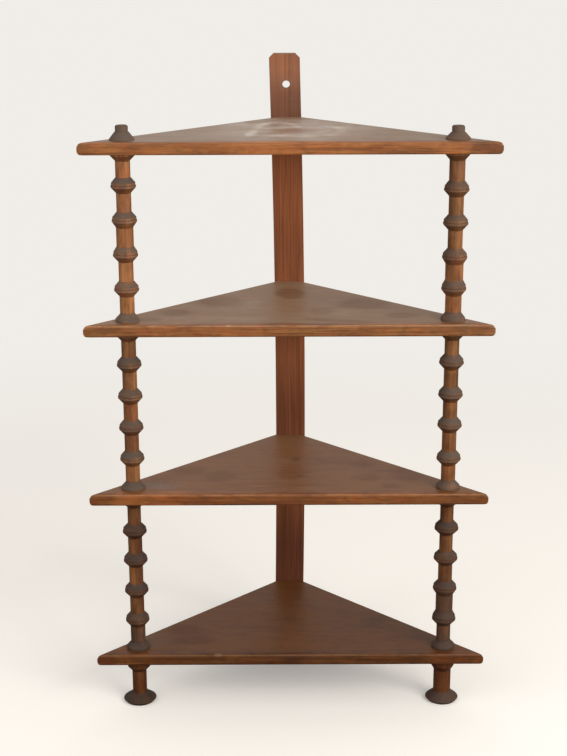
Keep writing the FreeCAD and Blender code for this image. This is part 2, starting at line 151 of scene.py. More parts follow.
class Bench:
    """Modelling steps made with Blender's own operators on one piece at a time."""

    @staticmethod
    def start(name: str, add: Callable[[], object]) -> Piece:
        """Add a primitive with nothing else selected and open it in edit mode, all of it selected.

        Args:
            name: Name of the new piece.
            add: Call that adds the primitive at the origin.

        Returns:
            The new piece.
        """
        bpy.ops.object.select_all(action="DESELECT")
        add()
        piece = bpy.context.active_object
        piece.name = name
        piece.data.name = name
        bpy.ops.object.mode_set(mode="EDIT")
        bpy.ops.mesh.select_mode(type=Element.VERT.name)
        bpy.ops.mesh.select_all(action="SELECT")
        return piece

    @staticmethod
    def block(name: str, low: Vector, high: Vector) -> Piece:
        """Start a piece from a cube drawn out to a box.

        Args:
            name: Name of the new piece.
            low: The box's lowest corner.
            high: The box's highest corner.

        Returns:
            The new piece, in edit mode.
        """
        piece = Bench.start(name, lambda: bpy.ops.mesh.primitive_cube_add(size=1))
        bpy.ops.transform.resize(value=high - low)
        bpy.ops.transform.translate(value=(low + high) / 2)
        return piece

    @staticmethod
    def select(piece: Piece, element: Element, test: Callable[[Part], bool]) -> None:
        """Select only the vertices or edges that pass a test.

        Args:
            piece: Piece in edit mode.
            element: Vertices or edges.
            test: Takes one of them and says whether it is picked.
        """
        bpy.ops.mesh.select_mode(type=element.name)
        bpy.ops.mesh.select_all(action="DESELECT")
        mesh = bmesh.from_edit_mesh(piece.data)
        for part in getattr(mesh, element.value):
            if test(part):
                part.select_set(True)
        mesh.select_flush_mode()
        bmesh.update_edit_mesh(piece.data)

    @staticmethod
    def pick_verts(piece: Piece, test: Callable[[Vector], bool]) -> None:
        """Select only the vertices whose place passes a test."""
        Bench.select(piece, Element.VERT, lambda vert: test(vert.co))

    @staticmethod
    def pick_edges(piece: Piece, test: Callable[[list[Vector]], bool]) -> None:
        """Select only the edges whose two ends pass a test."""
        Bench.select(piece, Element.EDGE, lambda edge: test([vert.co for vert in edge.verts]))

    @staticmethod
    def pick_arrises(piece: Piece, least: float) -> None:
        """Select the convex edges that turn by more than an angle in radians."""
        Bench.select(piece, Element.EDGE, lambda edge: edge.calc_face_angle_signed(0.0) > least)

    @staticmethod
    def cut(point: Vector, normal: Vector, drop: bool) -> None:
        """Bisect the whole piece with a plane, and drop what lies on its normal's side if that is asked."""
        bpy.ops.mesh.select_all(action="SELECT")
        bpy.ops.mesh.bisect(plane_co=point, plane_no=normal, use_fill=drop, clear_outer=drop)

    @staticmethod
    def round_over(width: float, segments: int) -> None:
        """Bevel the selected edges round, so far from each edge and with so many facets."""
        bpy.ops.mesh.bevel(offset=width, segments=segments, profile=0.5, affect="EDGES", clamp_overlap=True)

    @staticmethod
    def close(piece: Piece, smooth_angle: float) -> None:
        """Merge doubles, turn the faces outwards, leave edit mode and shade smooth with weighted normals.

        Args:
            piece: Piece in edit mode.
            smooth_angle: Edges that turn by more stay sharp, in radians.
        """
        bpy.ops.mesh.select_all(action="SELECT")
        bpy.ops.mesh.remove_doubles(threshold=SAME_PLACE)
        bpy.ops.mesh.normals_make_consistent(inside=False)
        bpy.ops.object.mode_set(mode="OBJECT")
        bpy.ops.object.shade_smooth_by_angle(angle=smooth_angle)
        even = piece.modifiers.new("even_normals", "WEIGHTED_NORMAL")
        even.keep_sharp = True
        bpy.ops.object.modifier_apply(modifier=even.name)

    @staticmethod
    def paint(piece: Piece, name: str, values: np.ndarray) -> None:
        """Store one number per vertex, under a name, for the piece's finish to read."""
        layer = piece.data.attributes.new(name, "FLOAT", "POINT")
        layer.data.foreach_set("value", values.astype(np.float32))

    @staticmethod
    def points(piece: Piece) -> np.ndarray:
        """Places of a piece's vertices.

        Args:
            piece: Piece in object mode.

        Returns:
            X, Y and Z of each vertex, one row each.
        """
        places = np.empty(len(piece.data.vertices) * 3, np.float32)
        piece.data.vertices.foreach_get("co", places)
        return places.reshape(-1, 3).astype(float)

    @staticmethod
    def seat(piece: Piece, node: str, slot: str, material: bpy.types.Material) -> None:
        """Put a finished piece in a node's stead and give it its finish.

        Args:
            piece: The new piece.
            node: The frame's node that it stands for.
            slot: The record's material slot; not used.
            material: The piece's finish.
        """
        piece.data.materials.clear()
        piece.data.materials.append(material)
        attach(piece, "root")
        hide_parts(node)
        LOG.info("%s stands for %s with %d faces", piece.name, node, len(piece.data.polygons))


class Wiring:
    """Shader tree being wired: adds nodes and joins their sockets."""

    columns: ClassVar[int] = 12
    column_width: ClassVar[int] = 190
    row_height: ClassVar[int] = 260

    def __init__(self, tree: bpy.types.NodeTree) -> None:
        """Take the tree to wire."""
        self.tree = tree

    def node(self, kind: str, *terms: object, **settings: object) -> bpy.types.Node:
        """Add a node.

        Args:
            kind: The node's type name.
            terms: Output sockets or values for its first inputs, in order.
            settings: Properties to set on it.

        Returns:
            The new node.
        """
        node = self.tree.nodes.new(kind)
        row, column = divmod(len(self.tree.nodes), self.columns)
        node.location = (self.column_width * column, -self.row_height * row)
        for name, setting in settings.items():
            setattr(node, name, setting)
        for socket, term in zip(node.inputs, terms):
            self.feed(socket, term)
        return node

    def feed(self, socket: Socket, source: object) -> None:
        """Join a socket to another one, or set its plain value.

        Args:
            socket: The input socket.
            source: An output socket, or a value.
        """
        if isinstance(source, Socket):
            self.tree.links.new(source, socket)
        else:
            socket.default_value = source

    def math(self, operation: str, *terms: object, clamp: bool = False) -> Socket:
        """Result of a Math node on sockets or numbers, kept from 0 to 1 if that is asked."""
        return self.node("ShaderNodeMath", *terms, operation=operation, use_clamp=clamp).outputs[0]

    def vector(self, operation: str, *terms: object) -> bpy.types.Node:
        """Vector Math node on sockets or vectors."""
        return self.node("ShaderNodeVectorMath", *terms, operation=operation)

    def along(self, vector: Socket, axis: str) -> Socket:
        """Part of a vector along X, Y or Z."""
        return self.node("ShaderNodeSeparateXYZ", vector).outputs[axis]

    def laid(self, vector: Socket, scale: Sequence[float], turn: Sequence[float] = (0, 0, 0)) -> Socket:
        """Place in a pattern with so many units per metre along each axis, turned by angles in radians."""
        return self.node("ShaderNodeMapping", vector, (0, 0, 0), turn, scale).outputs[0]

    def noise(
        self, vector: Socket, scale: object, detail: float, rough: float = 0.55, bend: float = 0
    ) -> Socket:
        """Noise texture.

        Args:
            vector: Place in the pattern.
            scale: Size of the pattern.
            detail: Octaves.
            rough: Weight of the fine octaves.
            bend: Distortion.

        Returns:
            The noise from 0 to 1.
        """
        node = self.node("ShaderNodeTexNoise")
        look = {"Scale": scale, "Detail": detail, "Roughness": rough, "Distortion": bend}
        for name, source in {"Vector": vector, **look}.items():
            self.feed(node.inputs[name], source)
        return node.outputs[0]

    def between(
        self, value: object, low: object, high: object, start: object = 0, end: object = 1
    ) -> Socket:
        """Smooth step from start, at and below the low level, to end, at and above the high one."""
        terms = (value, low, high, start, end)
        return self.node("ShaderNodeMapRange", *terms, interpolation_type="SMOOTHSTEP").outputs[0]

    def mix(self, share: object, under: object, over: object, blend: str = "MIX") -> Socket:
        """Mix of two colours.

        Args:
            share: How much of the second colour shows.
            under: First colour.
            over: Second colour.
            blend: Blend mode.

        Returns:
            The mixed colour.
        """
        node = self.node("ShaderNodeMix", data_type="RGBA", blend_type=blend, clamp_factor=True)
        for index, source in ((0, share), (6, under), (7, over)):
            self.feed(node.inputs[index], source)
        return node.outputs[2]

    def blend(self, share: Socket, under: Socket, over: Socket) -> Socket:
        """Mix of two shaders, by how much of the second one shows."""
        return self.node("ShaderNodeMixShader", share, under, over).outputs[0]

    def effect(self, effect: type["Effect"], **inputs: object) -> bpy.types.Node:
        """Place a shared effect with its own values.

        Args:
            effect: The effect's class.
            inputs: Its inputs by name, with underscores for spaces.

        Returns:
            The group node.
        """
        node = self.node("ShaderNodeGroup", node_tree=effect.group())
        for name, source in inputs.items():
            self.feed(node.inputs[name.replace("_", " ").title()], source)
        return node


class Effect:
    """Shader effect that several finishes share, wired once as a node group."""

    title: ClassVar[str] = ""
    takes: ClassVar[tuple[tuple[str, str], ...]] = ()
    gives: ClassVar[tuple[tuple[str, str], ...]] = ()

    @classmethod
    def group(cls) -> bpy.types.NodeTree:
        """Node group of the effect, wired on first use.

        Returns:
            The group's tree.
        """
        tree = bpy.data.node_groups.get(cls.title)
        if tree is not None:
            return tree
        tree = bpy.data.node_groups.new(cls.title, "ShaderNodeTree")
        for way, sockets in (("INPUT", cls.takes), ("OUTPUT", cls.gives)):
            for name, kind in sockets:
                tree.interface.new_socket(name=name, in_out=way, socket_type=f"NodeSocket{kind}")
        wiring = Wiring(tree)
        source = wiring.node("NodeGroupInput")
        target = wiring.node("NodeGroupOutput")
        for name, result in cls.wire(wiring, source.outputs).items():
            wiring.feed(target.inputs[name], result)
        return tree

    @classmethod
    def wire(cls, wiring: Wiring, given: bpy.types.bpy_prop_collection) -> dict[str, Socket]:
        """Wire the effect from the group's input sockets and return its output sockets by name."""
        raise NotImplementedError


class WoodGrain(Effect):
    """Streaked grain with growth lines and open pores, its fibres along the vector's X."""

    title = "wood_grain"
    takes = (
        ("Vector", "Vector"),
        ("Light", "Color"),
        ("Mid", "Color"),
        ("Dark", "Color"),
        ("Tint", "Color"),
        ("Streak", "Float"),
        ("Figure", "Float"),
    )
    gives = (("Color", "Color"), ("Height", "Float"), ("Pores", "Float"))

    @classmethod
    def wire(cls, wiring: Wiring, given: bpy.types.bpy_prop_collection) -> dict[str, Socket]:
        """Wire broad streaks, growth lines, fine streaks and pores over each other.

        Args:
            wiring: The group's tree.
            given: The group's input sockets.

        Returns:
            The output sockets by name.
        """
        vector = given["Vector"]
        broad = wiring.noise(wiring.laid(vector, (4.5, 50, 50)), 1, 5, 0.6, 0.5)
        fine = wiring.noise(wiring.laid(vector, (12, 300, 300)), 1, 2, 0.55, 0.2)
        pore = wiring.noise(wiring.laid(vector, (60, 800, 800)), 1, 1)
        cloud = wiring.noise(wiring.laid(vector, (9, 16, 16)), 1, 3, 0.5, 0.5)
        rings = wiring.math("SINE", wiring.math("MULTIPLY", broad, 62))
        lines = wiring.math("MULTIPLY", wiring.between(rings, 0.1, 1), wiring.between(fine, 0.3, 0.6))
        colour = wiring.mix(wiring.between(broad, 0.34, 0.64), given["Mid"], given["Light"])
        colour = wiring.mix(wiring.between(cloud, 0.44, 0.7, 0, 0.85), colour, given["Tint"])
        colour = wiring.mix(wiring.math("MULTIPLY", lines, given["Figure"]), colour, given["Dark"])
        flecks = wiring.math("MULTIPLY", wiring.between(fine, 0.46, 0.68), given["Streak"])
        colour = wiring.mix(flecks, colour, given["Dark"])
        pores = wiring.between(pore, 0.6, 0.74)
        colour = wiring.mix(wiring.math("MULTIPLY", pores, 0.3), colour, given["Dark"])
        height = wiring.math("SUBTRACT", wiring.math("MULTIPLY", fine, 0.6), pores)
        return {"Color": colour, "Height": height, "Pores": pores}


class BlotchyStain(Effect):
    """Uneven take-up of the stain: soft darker and redder blotches."""

    title = "blotchy_stain"
    takes = (("Color", "Color"), ("Vector", "Vector"), ("Fineness", "Float"), ("Amount", "Float"))
    gives = (("Color", "Color"),)
    deep: ClassVar[Colour] = (0.5, 0.52, 0.5, 1.0)
    red: ClassVar[Colour] = (1.0, 0.72, 0.6, 1.0)

    @classmethod
    def wire(cls, wiring: Wiring, given: bpy.types.bpy_prop_collection) -> dict[str, Socket]:
        """Wire two noises that darken and redden the colour.

        Args:
            wiring: The group's tree.
            given: The group's input sockets.

        Returns:
            The output socket by name.
        """
        elsewhere = wiring.laid(given["Vector"], (0.7, 1.1, 1.3))
        dark = wiring.between(wiring.noise(given["Vector"], given["Fineness"], 4, 0.6, 0.6), 0.42, 0.66)
        warm = wiring.between(wiring.noise(elsewhere, given["Fineness"], 3, 0.55, 0.4), 0.46, 0.68)
        colour = given["Color"]
        for mask, shade in ((dark, cls.deep), (warm, cls.red)):
            colour = wiring.mix(wiring.math("MULTIPLY", mask, given["Amount"]), colour, shade, "MULTIPLY")
        return {"Color": colour}


class RubbedArrisAndHighlight(Effect):
    """Stain rubbed thin along arrises, broken up as hands and cloths leave it; on the shelves' front
    arrises and the beads' ridges it also stands for a painted highlight.
    """

    title = "rubbed_arris"
    takes = (
        ("Color", "Color"),
        ("Vector", "Vector"),
        ("Wear", "Float"),
        ("Worn", "Color"),
        ("Amount", "Float"),
    )
    gives = (("Color", "Color"),)

    @classmethod
    def wire(cls, wiring: Wiring, given: bpy.types.bpy_prop_collection) -> dict[str, Socket]:
        """Wire the worn colour in where the wear mask and a broken noise meet.

        Args:
            wiring: The group's tree.
            given: The group's input sockets.

        Returns:
            The output socket by name.
        """
        broken = wiring.between(wiring.noise(given["Vector"], 55, 4, 0.65), 0.32, 0.6, 0.25, 1)
        share = wiring.math("MULTIPLY", given["Wear"], given["Amount"])
        mask = wiring.math("MULTIPLY", share, broken, clamp=True)
        return {"Color": wiring.mix(mask, given["Color"], given["Worn"])}


class GrimeAndUndersideShade(Effect):
    """Dark old polish that stays in grooves, and painted shade on faces that look down."""

    title = "settled_grime"
    takes = (
        ("Color", "Color"),
        ("Normal", "Vector"),
        ("Grime", "Float"),
        ("Under", "Float"),
        ("Dirt", "Color"),
    )
    gives = (("Color", "Color"),)

    @classmethod
    def wire(cls, wiring: Wiring, given: bpy.types.bpy_prop_collection) -> dict[str, Socket]:
        """Wire the dirt colour in where the grime mask is set, and as painted shade where faces look down.

        Args:
            wiring: The group's tree.
            given: The group's input sockets.

        Returns:
            The output socket by name.
        """
        # Painted shade: faces that look down take the dirt colour, by the Under amount.
        below = wiring.between(wiring.along(given["Normal"], "Z"), -0.7, -0.05, 1, 0)
        under = wiring.math("MULTIPLY", below, given["Under"])
        mask = wiring.math("MAXIMUM", under, given["Grime"])
        return {"Color": wiring.mix(mask, given["Color"], given["Dirt"])}


class DustFilm(Effect):
    """Grey film of dust on faces that look up, thinner where it was wiped."""

    title = "dust_film"
    takes = (
        ("Color", "Color"),
        ("Vector", "Vector"),
        ("Normal", "Vector"),
        ("Dust", "Color"),
        ("Amount", "Float"),
        ("Slope", "Float"),
        ("Film", "Float"),
        ("Clean", "Float"),
        ("Clouds", "Float"),
        ("Least", "Float"),
    )
    gives = (("Color", "Color"), ("Mask", "Float"))

    @classmethod
    def wire(cls, wiring: Wiring, given: bpy.types.bpy_prop_collection) -> dict[str, Socket]:
        """Wire the dust colour in by how far a face looks up, with cloudy and speckled edges.

        Args:
            wiring: The group's tree.
            given: The group's input sockets.

        Returns:
            The output sockets by name.
        """
        full = wiring.math("ADD", given["Slope"], 0.45)
        upward = wiring.between(wiring.along(given["Normal"], "Z"), given["Slope"], full)
        upward = wiring.math("MAXIMUM", upward, given["Film"])
        cloudy = wiring.noise(given["Vector"], given["Clouds"], 4, 0.62)
        clouds = wiring.between(cloudy, 0.3, 0.66, given["Least"], 1.05)
        streaky = wiring.noise(wiring.laid(given["Vector"], (9, 45, 45)), 1, 4)
        wipes = wiring.between(streaky, 0.35, 0.65, 0.72, 1.08)
        lying = wiring.math("MULTIPLY", wiring.math("MULTIPLY", clouds, wipes), given["Amount"])
        left = wiring.math("SUBTRACT", 1, given["Clean"], clamp=True)
        mask = wiring.math("MULTIPLY", wiring.math("MULTIPLY", upward, lying), left, clamp=True)
        return {"Color": wiring.mix(mask, given["Color"], given["Dust"]), "Mask": mask}


class Raggedness(Effect):
    """Noise that roughens the outlines of marks and breaks up what fills them."""

    title = "raggedness"
    takes = (("Vector", "Vector"),)
    gives = (("Rough", "Float"), ("Patchy", "Float"))

    @classmethod
    def wire(cls, wiring: Wiring, given: bpy.types.bpy_prop_collection) -> dict[str, Socket]:
        """Wire one noise about zero for outlines and one of patches for fills.

        Args:
            wiring: The group's tree.
            given: The group's input sockets.

        Returns:
            The output sockets by name.
        """
        rough = wiring.math("SUBTRACT", wiring.noise(given["Vector"], 24, 5, 0.68, 0.8), 0.5)
        patchy = wiring.between(wiring.noise(given["Vector"], 70, 4, 0.65), 0.32, 0.62, 0.35, 1)
        return {"Rough": wiring.math("MULTIPLY", rough, 2.4), "Patchy": patchy}


class RaggedOval(Effect):
    """Ragged oval, where something stood or a cloth went."""

    title = "ragged_oval"
    takes = (
        ("Vector", "Vector"),
        ("Centre", "Vector"),
        ("Reach", "Vector"),
        ("Turn", "Float"),
        ("Ragged", "Float"),
        ("Soft", "Float"),
        ("Rough", "Float"),
        ("Patchy", "Float"),
        ("Broken", "Float"),
    )
    gives = (("Mask", "Float"),)

    @classmethod
    def wire(cls, wiring: Wiring, given: bpy.types.bpy_prop_collection) -> dict[str, Socket]:
        """Wire the distance from the centre in units of the reach, roughened by noise.

        Args:
            wiring: The group's tree.
            given: The group's input sockets.

        Returns:
            The output socket by name.
        """
        turned = wiring.node("ShaderNodeVectorRotate", rotation_type="Z_AXIS", invert=True)
        wiring.feed(turned.inputs["Vector"], given["Vector"])
        wiring.feed(turned.inputs["Center"], given["Centre"])
        wiring.feed(turned.inputs["Angle"], given["Turn"])
        offset = wiring.vector("SUBTRACT", turned.outputs[0], given["Centre"])
        shrunk = wiring.vector("DIVIDE", offset.outputs[0], given["Reach"])
        length = wiring.vector("LENGTH", shrunk.outputs[0]).outputs["Value"]
        away = wiring.math("MULTIPLY_ADD", given["Rough"], given["Ragged"], length)
        inner = wiring.math("SUBTRACT", 1, given["Soft"])
        outer = wiring.math("ADD", 1, given["Soft"])
        disc = wiring.between(away, inner, outer, 1, 0)
        gaps = wiring.math("SUBTRACT", given["Patchy"], 1)
        fill = wiring.math("MULTIPLY_ADD", gaps, given["Broken"], 1)
        return {"Mask": wiring.math("MULTIPLY", disc, fill)}


@dataclass(frozen=True)
class Stain:
    """Colours of one stained wood, from its lightest fibres to its wear."""

    light: Colour
    mid: Colour
    dark: Colour
    tint: Colour
    # Colour of rubbed wear, which on shelf arrises and bead ridges also stands for a painted highlight.
    worn: Colour
    # Colour of dirt in grooves, also laid on faces that look down as painted shade.
    grime: Colour = srgb(58, 36, 26)
    dust: Colour = srgb(150, 131, 116)
    # What darkened and lightened marks multiply the colour by; some of those marks are painted shade and
    # painted light.
    aged: Colour = (0.35, 0.35, 0.4, 1.0)
    faded: Colour = (1.5, 1.42, 1.3, 1.0)

    def deepened(self, share: float, cool: float = 1.0) -> "Stain":
        """The same stain with every wood colour darkened.

        Args:
            share: How much of the colour stays.
            cool: How much of that stays in the green, and twice over in the blue.

        Returns:
            The darker stain.
        """
        names = ("light", "mid", "dark", "tint", "worn", "grime")
        shares = (share, share * cool, share * cool**2, 1.0)
        return replace(
            self, **{name: tuple(np.multiply(getattr(self, name), shares).tolist()) for name in names}
        )


@dataclass(frozen=True)
class Mark:
    """Oval mark on a piece: its middle, its reach along each axis, its strength and its turn in degrees."""

    kind: MarkKind
    centre: tuple[float, float, float]
    reach: tuple[float, float, float]
    strength: float
    turn: float = 0.0
    ragged: float = 0.5
    soft: float = 0.35
    broken: float = 1.0


@dataclass(frozen=True)
class WoodFinish:
    """Satin stained wood: grain, rubbed arrises partly standing for painted highlights, settled dirt with
    painted shade on down-facing faces, and a film of dust.
    """

    name: str
    stain: Stain
    fibre: Fibre
    fineness: float = 1.0
    stretch: float = 0.6
    streak: float = 0.5
    figure: float = 0.3
    blotch: float = 0.0
    blotch_fineness: float = 60.0
    wear: float = 0.8
    # How much painted shade darkens the faces that look down.
    under: float = 0.0
    dust: float = 0.8
    slope: float = 0.2
    clouds: float = 18.0
    least: float = 0.6
    dulled: float = 0.3
    gloss_low: float = 0.42
    gloss_high: float = 0.6
    sheen: float = 0.3
    grain_depth: float = 0.25 * MM
    grain_strength: float = 0.5
    wiped: Colour = srgb(226, 212, 200)
    # What a dimmed mark multiplies the colour by: soiled dust, and painted shade on the right of the shelf
    # tops.
    soil: Colour = (0.5, 0.32, 0.06, 1.0)
    marks: tuple[Mark, ...] = ()

    def material(self) -> bpy.types.Material:
        """Material of the finish, wired on first use.

        Returns:
            The material.
        """
        material = bpy.data.materials.get(self.name)
        if material is None:
            material = bpy.data.materials.new(self.name)
            material.use_nodes = True
            self.wire(material)
        return material

    def has(self, kind: MarkKind) -> bool:
        """Whether the piece bears a mark of one kind."""
        return any(mark.kind is kind for mark in self.marks)

    def marked(self, wiring: Wiring, place: Socket, kind: MarkKind) -> Socket | float:
        """Mask of the strongest mark of one kind.

        Args:
            wiring: The material's tree.
            place: Place on the piece.
            kind: The kind of mark.

        Returns:
            The joined mask, or 0 where the piece has none.
        """
        if not self.has(kind):
            return 0.0
        ragged = wiring.effect(Raggedness, vector=place)
        masks = []
        for mark in (mark for mark in self.marks if mark.kind is kind):
            oval = wiring.effect(
                RaggedOval,
                vector=place,
                centre=mark.centre,
                reach=mark.reach,
                turn=math.radians(mark.turn),
                ragged=mark.ragged,
                soft=mark.soft,
                rough=ragged.outputs["Rough"],
                patchy=ragged.outputs["Patchy"],
                broken=mark.broken,
            )
            masks.append(wiring.math("MULTIPLY", oval.outputs["Mask"], mark.strength))
        return reduce(partial(wiring.math, "MAXIMUM"), masks)

    def cleaned(self, wiring: Wiring, place: Socket) -> Socket | float:
        """Mask of where dust does not lie, or 0 where it lies everywhere."""
        return self.marked(wiring, place, MarkKind.CLEAN)

    def wood(self, wiring: Wiring, place: Socket) -> tuple[Socket, bpy.types.Node]:
        """Stained grain with its darker and lighter marks.

        Args:
            wiring: The material's tree.
            place: Place on the piece.

        Returns:
            The wood's colour, and the grain that it comes from.
        """
        fine, long = self.fineness, self.fineness / self.stretch
        along = (long, fine, fine) if self.fibre is Fibre.ALONG_X else (fine, fine, long)
        grain = wiring.effect(
            WoodGrain,
            vector=wiring.laid(place, along, self.fibre.value),
            light=self.stain.light,
            mid=self.stain.mid,
            dark=self.stain.dark,
            tint=self.stain.tint,
            streak=self.streak,
            figure=self.figure,
        )
        colour = grain.outputs["Color"]
        if self.blotch:
            stretched = wiring.laid(place, (1, 2, 2) if self.fibre is Fibre.ALONG_X else (2, 2, 1))
            blotchy = wiring.effect(
                BlotchyStain,
                color=colour,
                vector=stretched,
                fineness=self.blotch_fineness,
                amount=self.blotch,
            )
            colour = blotchy.outputs["Color"]
        shades = (
            (MarkKind.AGED, self.stain.aged, "MULTIPLY"),
            (MarkKind.FADED, self.stain.faded, "MULTIPLY"),
            (MarkKind.CHIPPED, self.stain.worn, "MIX"),
        )
        for kind, shade, blend in shades:
            if self.has(kind):
                colour = wiring.mix(self.marked(wiring, place, kind), colour, shade, blend)
        return colour, grain

    def wire(self, material: bpy.types.Material) -> None:
        """Wire the finish.

        Args:
            material: The material to fill.
        """
        wiring = Wiring(material.node_tree)
        shader = material.node_tree.nodes["Principled BSDF"]
        coordinates = wiring.node("ShaderNodeTexCoord")
        place, normal = coordinates.outputs["Object"], coordinates.outputs["Normal"]
        wear, grime, film = (
            wiring.node("ShaderNodeAttribute", attribute_name=name).outputs["Fac"]
            for name in ("wear", "grime", "film")
        )
        colour, grain = self.wood(wiring, place)
        rubbed = wiring.effect(
            RubbedArrisAndHighlight, color=colour, vector=place, wear=wear, worn=self.stain.worn, amount=self.wear
        )
        grimed_and_shaded = wiring.effect(
            GrimeAndUndersideShade,
            color=rubbed.outputs["Color"],
            normal=normal,
            grime=grime,
            under=self.under,
            dirt=self.stain.grime,
        )
        dusted = wiring.effect(
            DustFilm,
            color=grimed_and_shaded.outputs["Color"],
            vector=place,
            normal=normal,
            dust=self.stain.dust,
            amount=self.dust,
            slope=self.slope,
            film=film,
            clean=self.cleaned(wiring, place),
            clouds=self.clouds,
            least=self.least,
        )
        colour = dusted.outputs["Color"]
        dusty = dusted.outputs["Mask"]
        if self.has(MarkKind.WIPED):
            smear = wiring.math("MULTIPLY", self.marked(wiring, place, MarkKind.WIPED), dusty)
            colour = wiring.mix(smear, colour, self.wiped)
        if self.has(MarkKind.SOILED):
            colour = wiring.mix(self.marked(wiring, place, MarkKind.SOILED), colour, self.soil, "MULTIPLY")
        satin = wiring.between(grain.outputs["Pores"], 0, 1, self.gloss_low, self.gloss_high)
        rough = wiring.math("MULTIPLY_ADD", dusty, self.dulled, satin, clamp=True)
        bump = wiring.node("ShaderNodeBump")
        bump.inputs["Distance"].default_value = self.grain_depth
        bump.inputs["Strength"].default_value = self.grain_strength
        wiring.feed(bump.inputs["Height"], grain.outputs["Height"])
        wiring.feed(shader.inputs["Base Color"], colour)
        wiring.feed(shader.inputs["Roughness"], rough)
        wiring.feed(shader.inputs["Normal"], bump.outputs["Normal"])
        shader.inputs["Specular IOR Level"].default_value = self.sheen


@dataclass(frozen=True)
class BoardFinish(WoodFinish):
    """Shelf board, its dust rubbed off along the front edge and at the tips."""

    fibre: Fibre = Fibre.ALONG_X
    fineness: float = 1.8
    stretch: float = 1.8
    streak: float = 0.6
    figure: float = 0.25
    blotch: float = 0.55
    blotch_fineness: float = 45.0
    dulled: float = 0.1
    gloss_low: float = 0.38
    gloss_high: float = 0.5
    sheen: float = 0.4
    front: float = -0.12
    bare_from: float = 3 * MM
    bare_to: float = 18 * MM
    tips_from: float = 0.205
    tips_to: float = 0.24
    tips_bare: float = 0.6

    def cleaned(self, wiring: Wiring, place: Socket) -> Socket | float:
        """Mask of where dust does not lie.

        Args:
            wiring: The material's tree.
            place: Place on the piece.

        Returns:
            The mask.
        """
        across = wiring.math("ABSOLUTE", wiring.along(place, "X"))
        start, end = self.front + self.bare_from, self.front + self.bare_to
        edge = wiring.between(wiring.along(place, "Y"), start, end, 1, 0)
        tips = wiring.between(across, self.tips_from, self.tips_to, 0, self.tips_bare)
        rubbed = wiring.math("MAXIMUM", edge, tips)
        return wiring.math("MAXIMUM", rubbed, self.marked(wiring, place, MarkKind.CLEAN))


@dataclass(frozen=True)
class ScrewFinish:
    """Dull steel of old screws, brushed by the screwdriver and stained brown."""

    name: str = "aged_steel"
    steel: Colour = srgb(122, 117, 108)
    rust: Colour = srgb(92, 58, 36)

    def material(self) -> bpy.types.Material:
        """Material of the finish.

        Returns:
            The material.
        """
        material = bpy.data.materials.new(self.name)
        material.use_nodes = True
        wiring = Wiring(material.node_tree)
        shader = material.node_tree.nodes["Principled BSDF"]
        place = wiring.node("ShaderNodeTexCoord").outputs["Object"]
        stained = wiring.between(wiring.noise(place, 420, 5, 0.65), 0.45, 0.68)
        brushed = wiring.noise(wiring.laid(place, (300, 300, 4000)), 1, 3)
        wiring.feed(shader.inputs["Base Color"], wiring.mix(stained, self.steel, self.rust))
        wiring.feed(shader.inputs["Roughness"], wiring.between(brushed, 0.3, 0.7, 0.38, 0.6))
        wiring.feed(shader.inputs["Metallic"], wiring.math("SUBTRACT", 1, stained, clamp=True))
        return material


@dataclass
class Shelf:
    """Three-cornered board with rounded edges and softened tips."""

    level: Level
    finish: WoodFinish
    top_round: float = 3.5 * MM
    under_round: float = 2.5 * MM
    tip_steps: tuple[tuple[float, float], ...] = (
        (7 * MM, 1.0),
        (4.5 * MM, 0.985),
        (2.7 * MM, 0.93),
        (1.6 * MM, 0.82),
        (0.9 * MM, 0.68),
        (0.4 * MM, 0.52),
        (0.0, 0.28),
    )
    tip_soft: float = 4 * MM
    tip_catch: float = 0.1 * MM
    slide: float = 0.0
    wear_drop: float = 0.3
    wear_reach: float = 0.28
    wear_from_back: float = 1 * MM

    @property
    def node(self) -> str:
        """The frame's node."""
        return f"shelf_{self.level.value}"

    def build(self) -> Piece:
        """Model the board: a block cut to three corners, its edges rounded and its tips eased.

        Returns:
            The finished board.
        """
        low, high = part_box(self.node)
        board = Bench.block(f"{self.node}_board", low, high)
        for way in (-1, 1):
            tip = Vector((high.x if way > 0 else low.x, low.y, 0))
            Bench.cut(tip, Vector((way, 1, 0)).normalized(), drop=True)
        for height, width, segments in ((high.z, self.top_round, 7), (low.z, self.under_round, 5)):
            Bench.pick_edges(
                board,
                lambda ends: all(abs(end.z - height) < SAME_PLACE for end in ends)
                and not all(abs(end.y - high.y) < SAME_PLACE for end in ends),
            )
            Bench.round_over(width, segments)
        for way in (-1, 1):
            self.ease_tip(board, way)
        bpy.ops.mesh.select_all(action="SELECT")
        bpy.ops.transform.translate(value=(self.slide, 0, 0))
        Bench.close(board, FLAT_SMOOTH)
        return board

    def ease_tip(self, board: Piece, way: int) -> None:
        """Round one tip off, as sanding does.

        Args:
            board: The board, in edit mode.
            way: -1 for the left tip, 1 for the right one.
        """
        low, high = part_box(self.node)
        middle = (low.z + high.z) / 2
        for inset, _ in self.tip_steps:
            Bench.cut(Vector((way * (high.x - inset), 0, 0)), Vector((1, 0, 0)), drop=False)
        for inset, share in self.tip_steps:
            ring = way * (high.x - inset)
            Bench.pick_verts(board, lambda at: abs(at.x - ring) < self.tip_catch)
            bpy.ops.transform.resize(value=(1, 1, share), center_override=(ring, low.y, middle))
        Bench.pick_verts(board, lambda at: way * at.x > high.x - self.tip_soft)
        bpy.ops.mesh.vertices_smooth(factor=0.25, repeat=1)

    def dress(self, board: Piece) -> None:
        """Mark the arrises that hands rub, which also carry a painted highlight, and give the board its
        finish.

        Args:
            board: The finished board.
        """
        _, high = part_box(self.node)
        _, y, z = Bench.points(board).T
        # A band on the upper front rounding gets the worn colour: rubbed wear, and also a painted highlight
        # where the rounding catches the light.
        drop = (high.z - z) / self.top_round
        rubbed = np.clip(1 - np.abs(drop - self.wear_drop) / self.wear_reach, 0, 1)
        Bench.paint(board, "wear", rubbed * (y < high.y - self.wear_from_back))
        Bench.seat(board, self.node, "shelf_wood", self.finish.material())


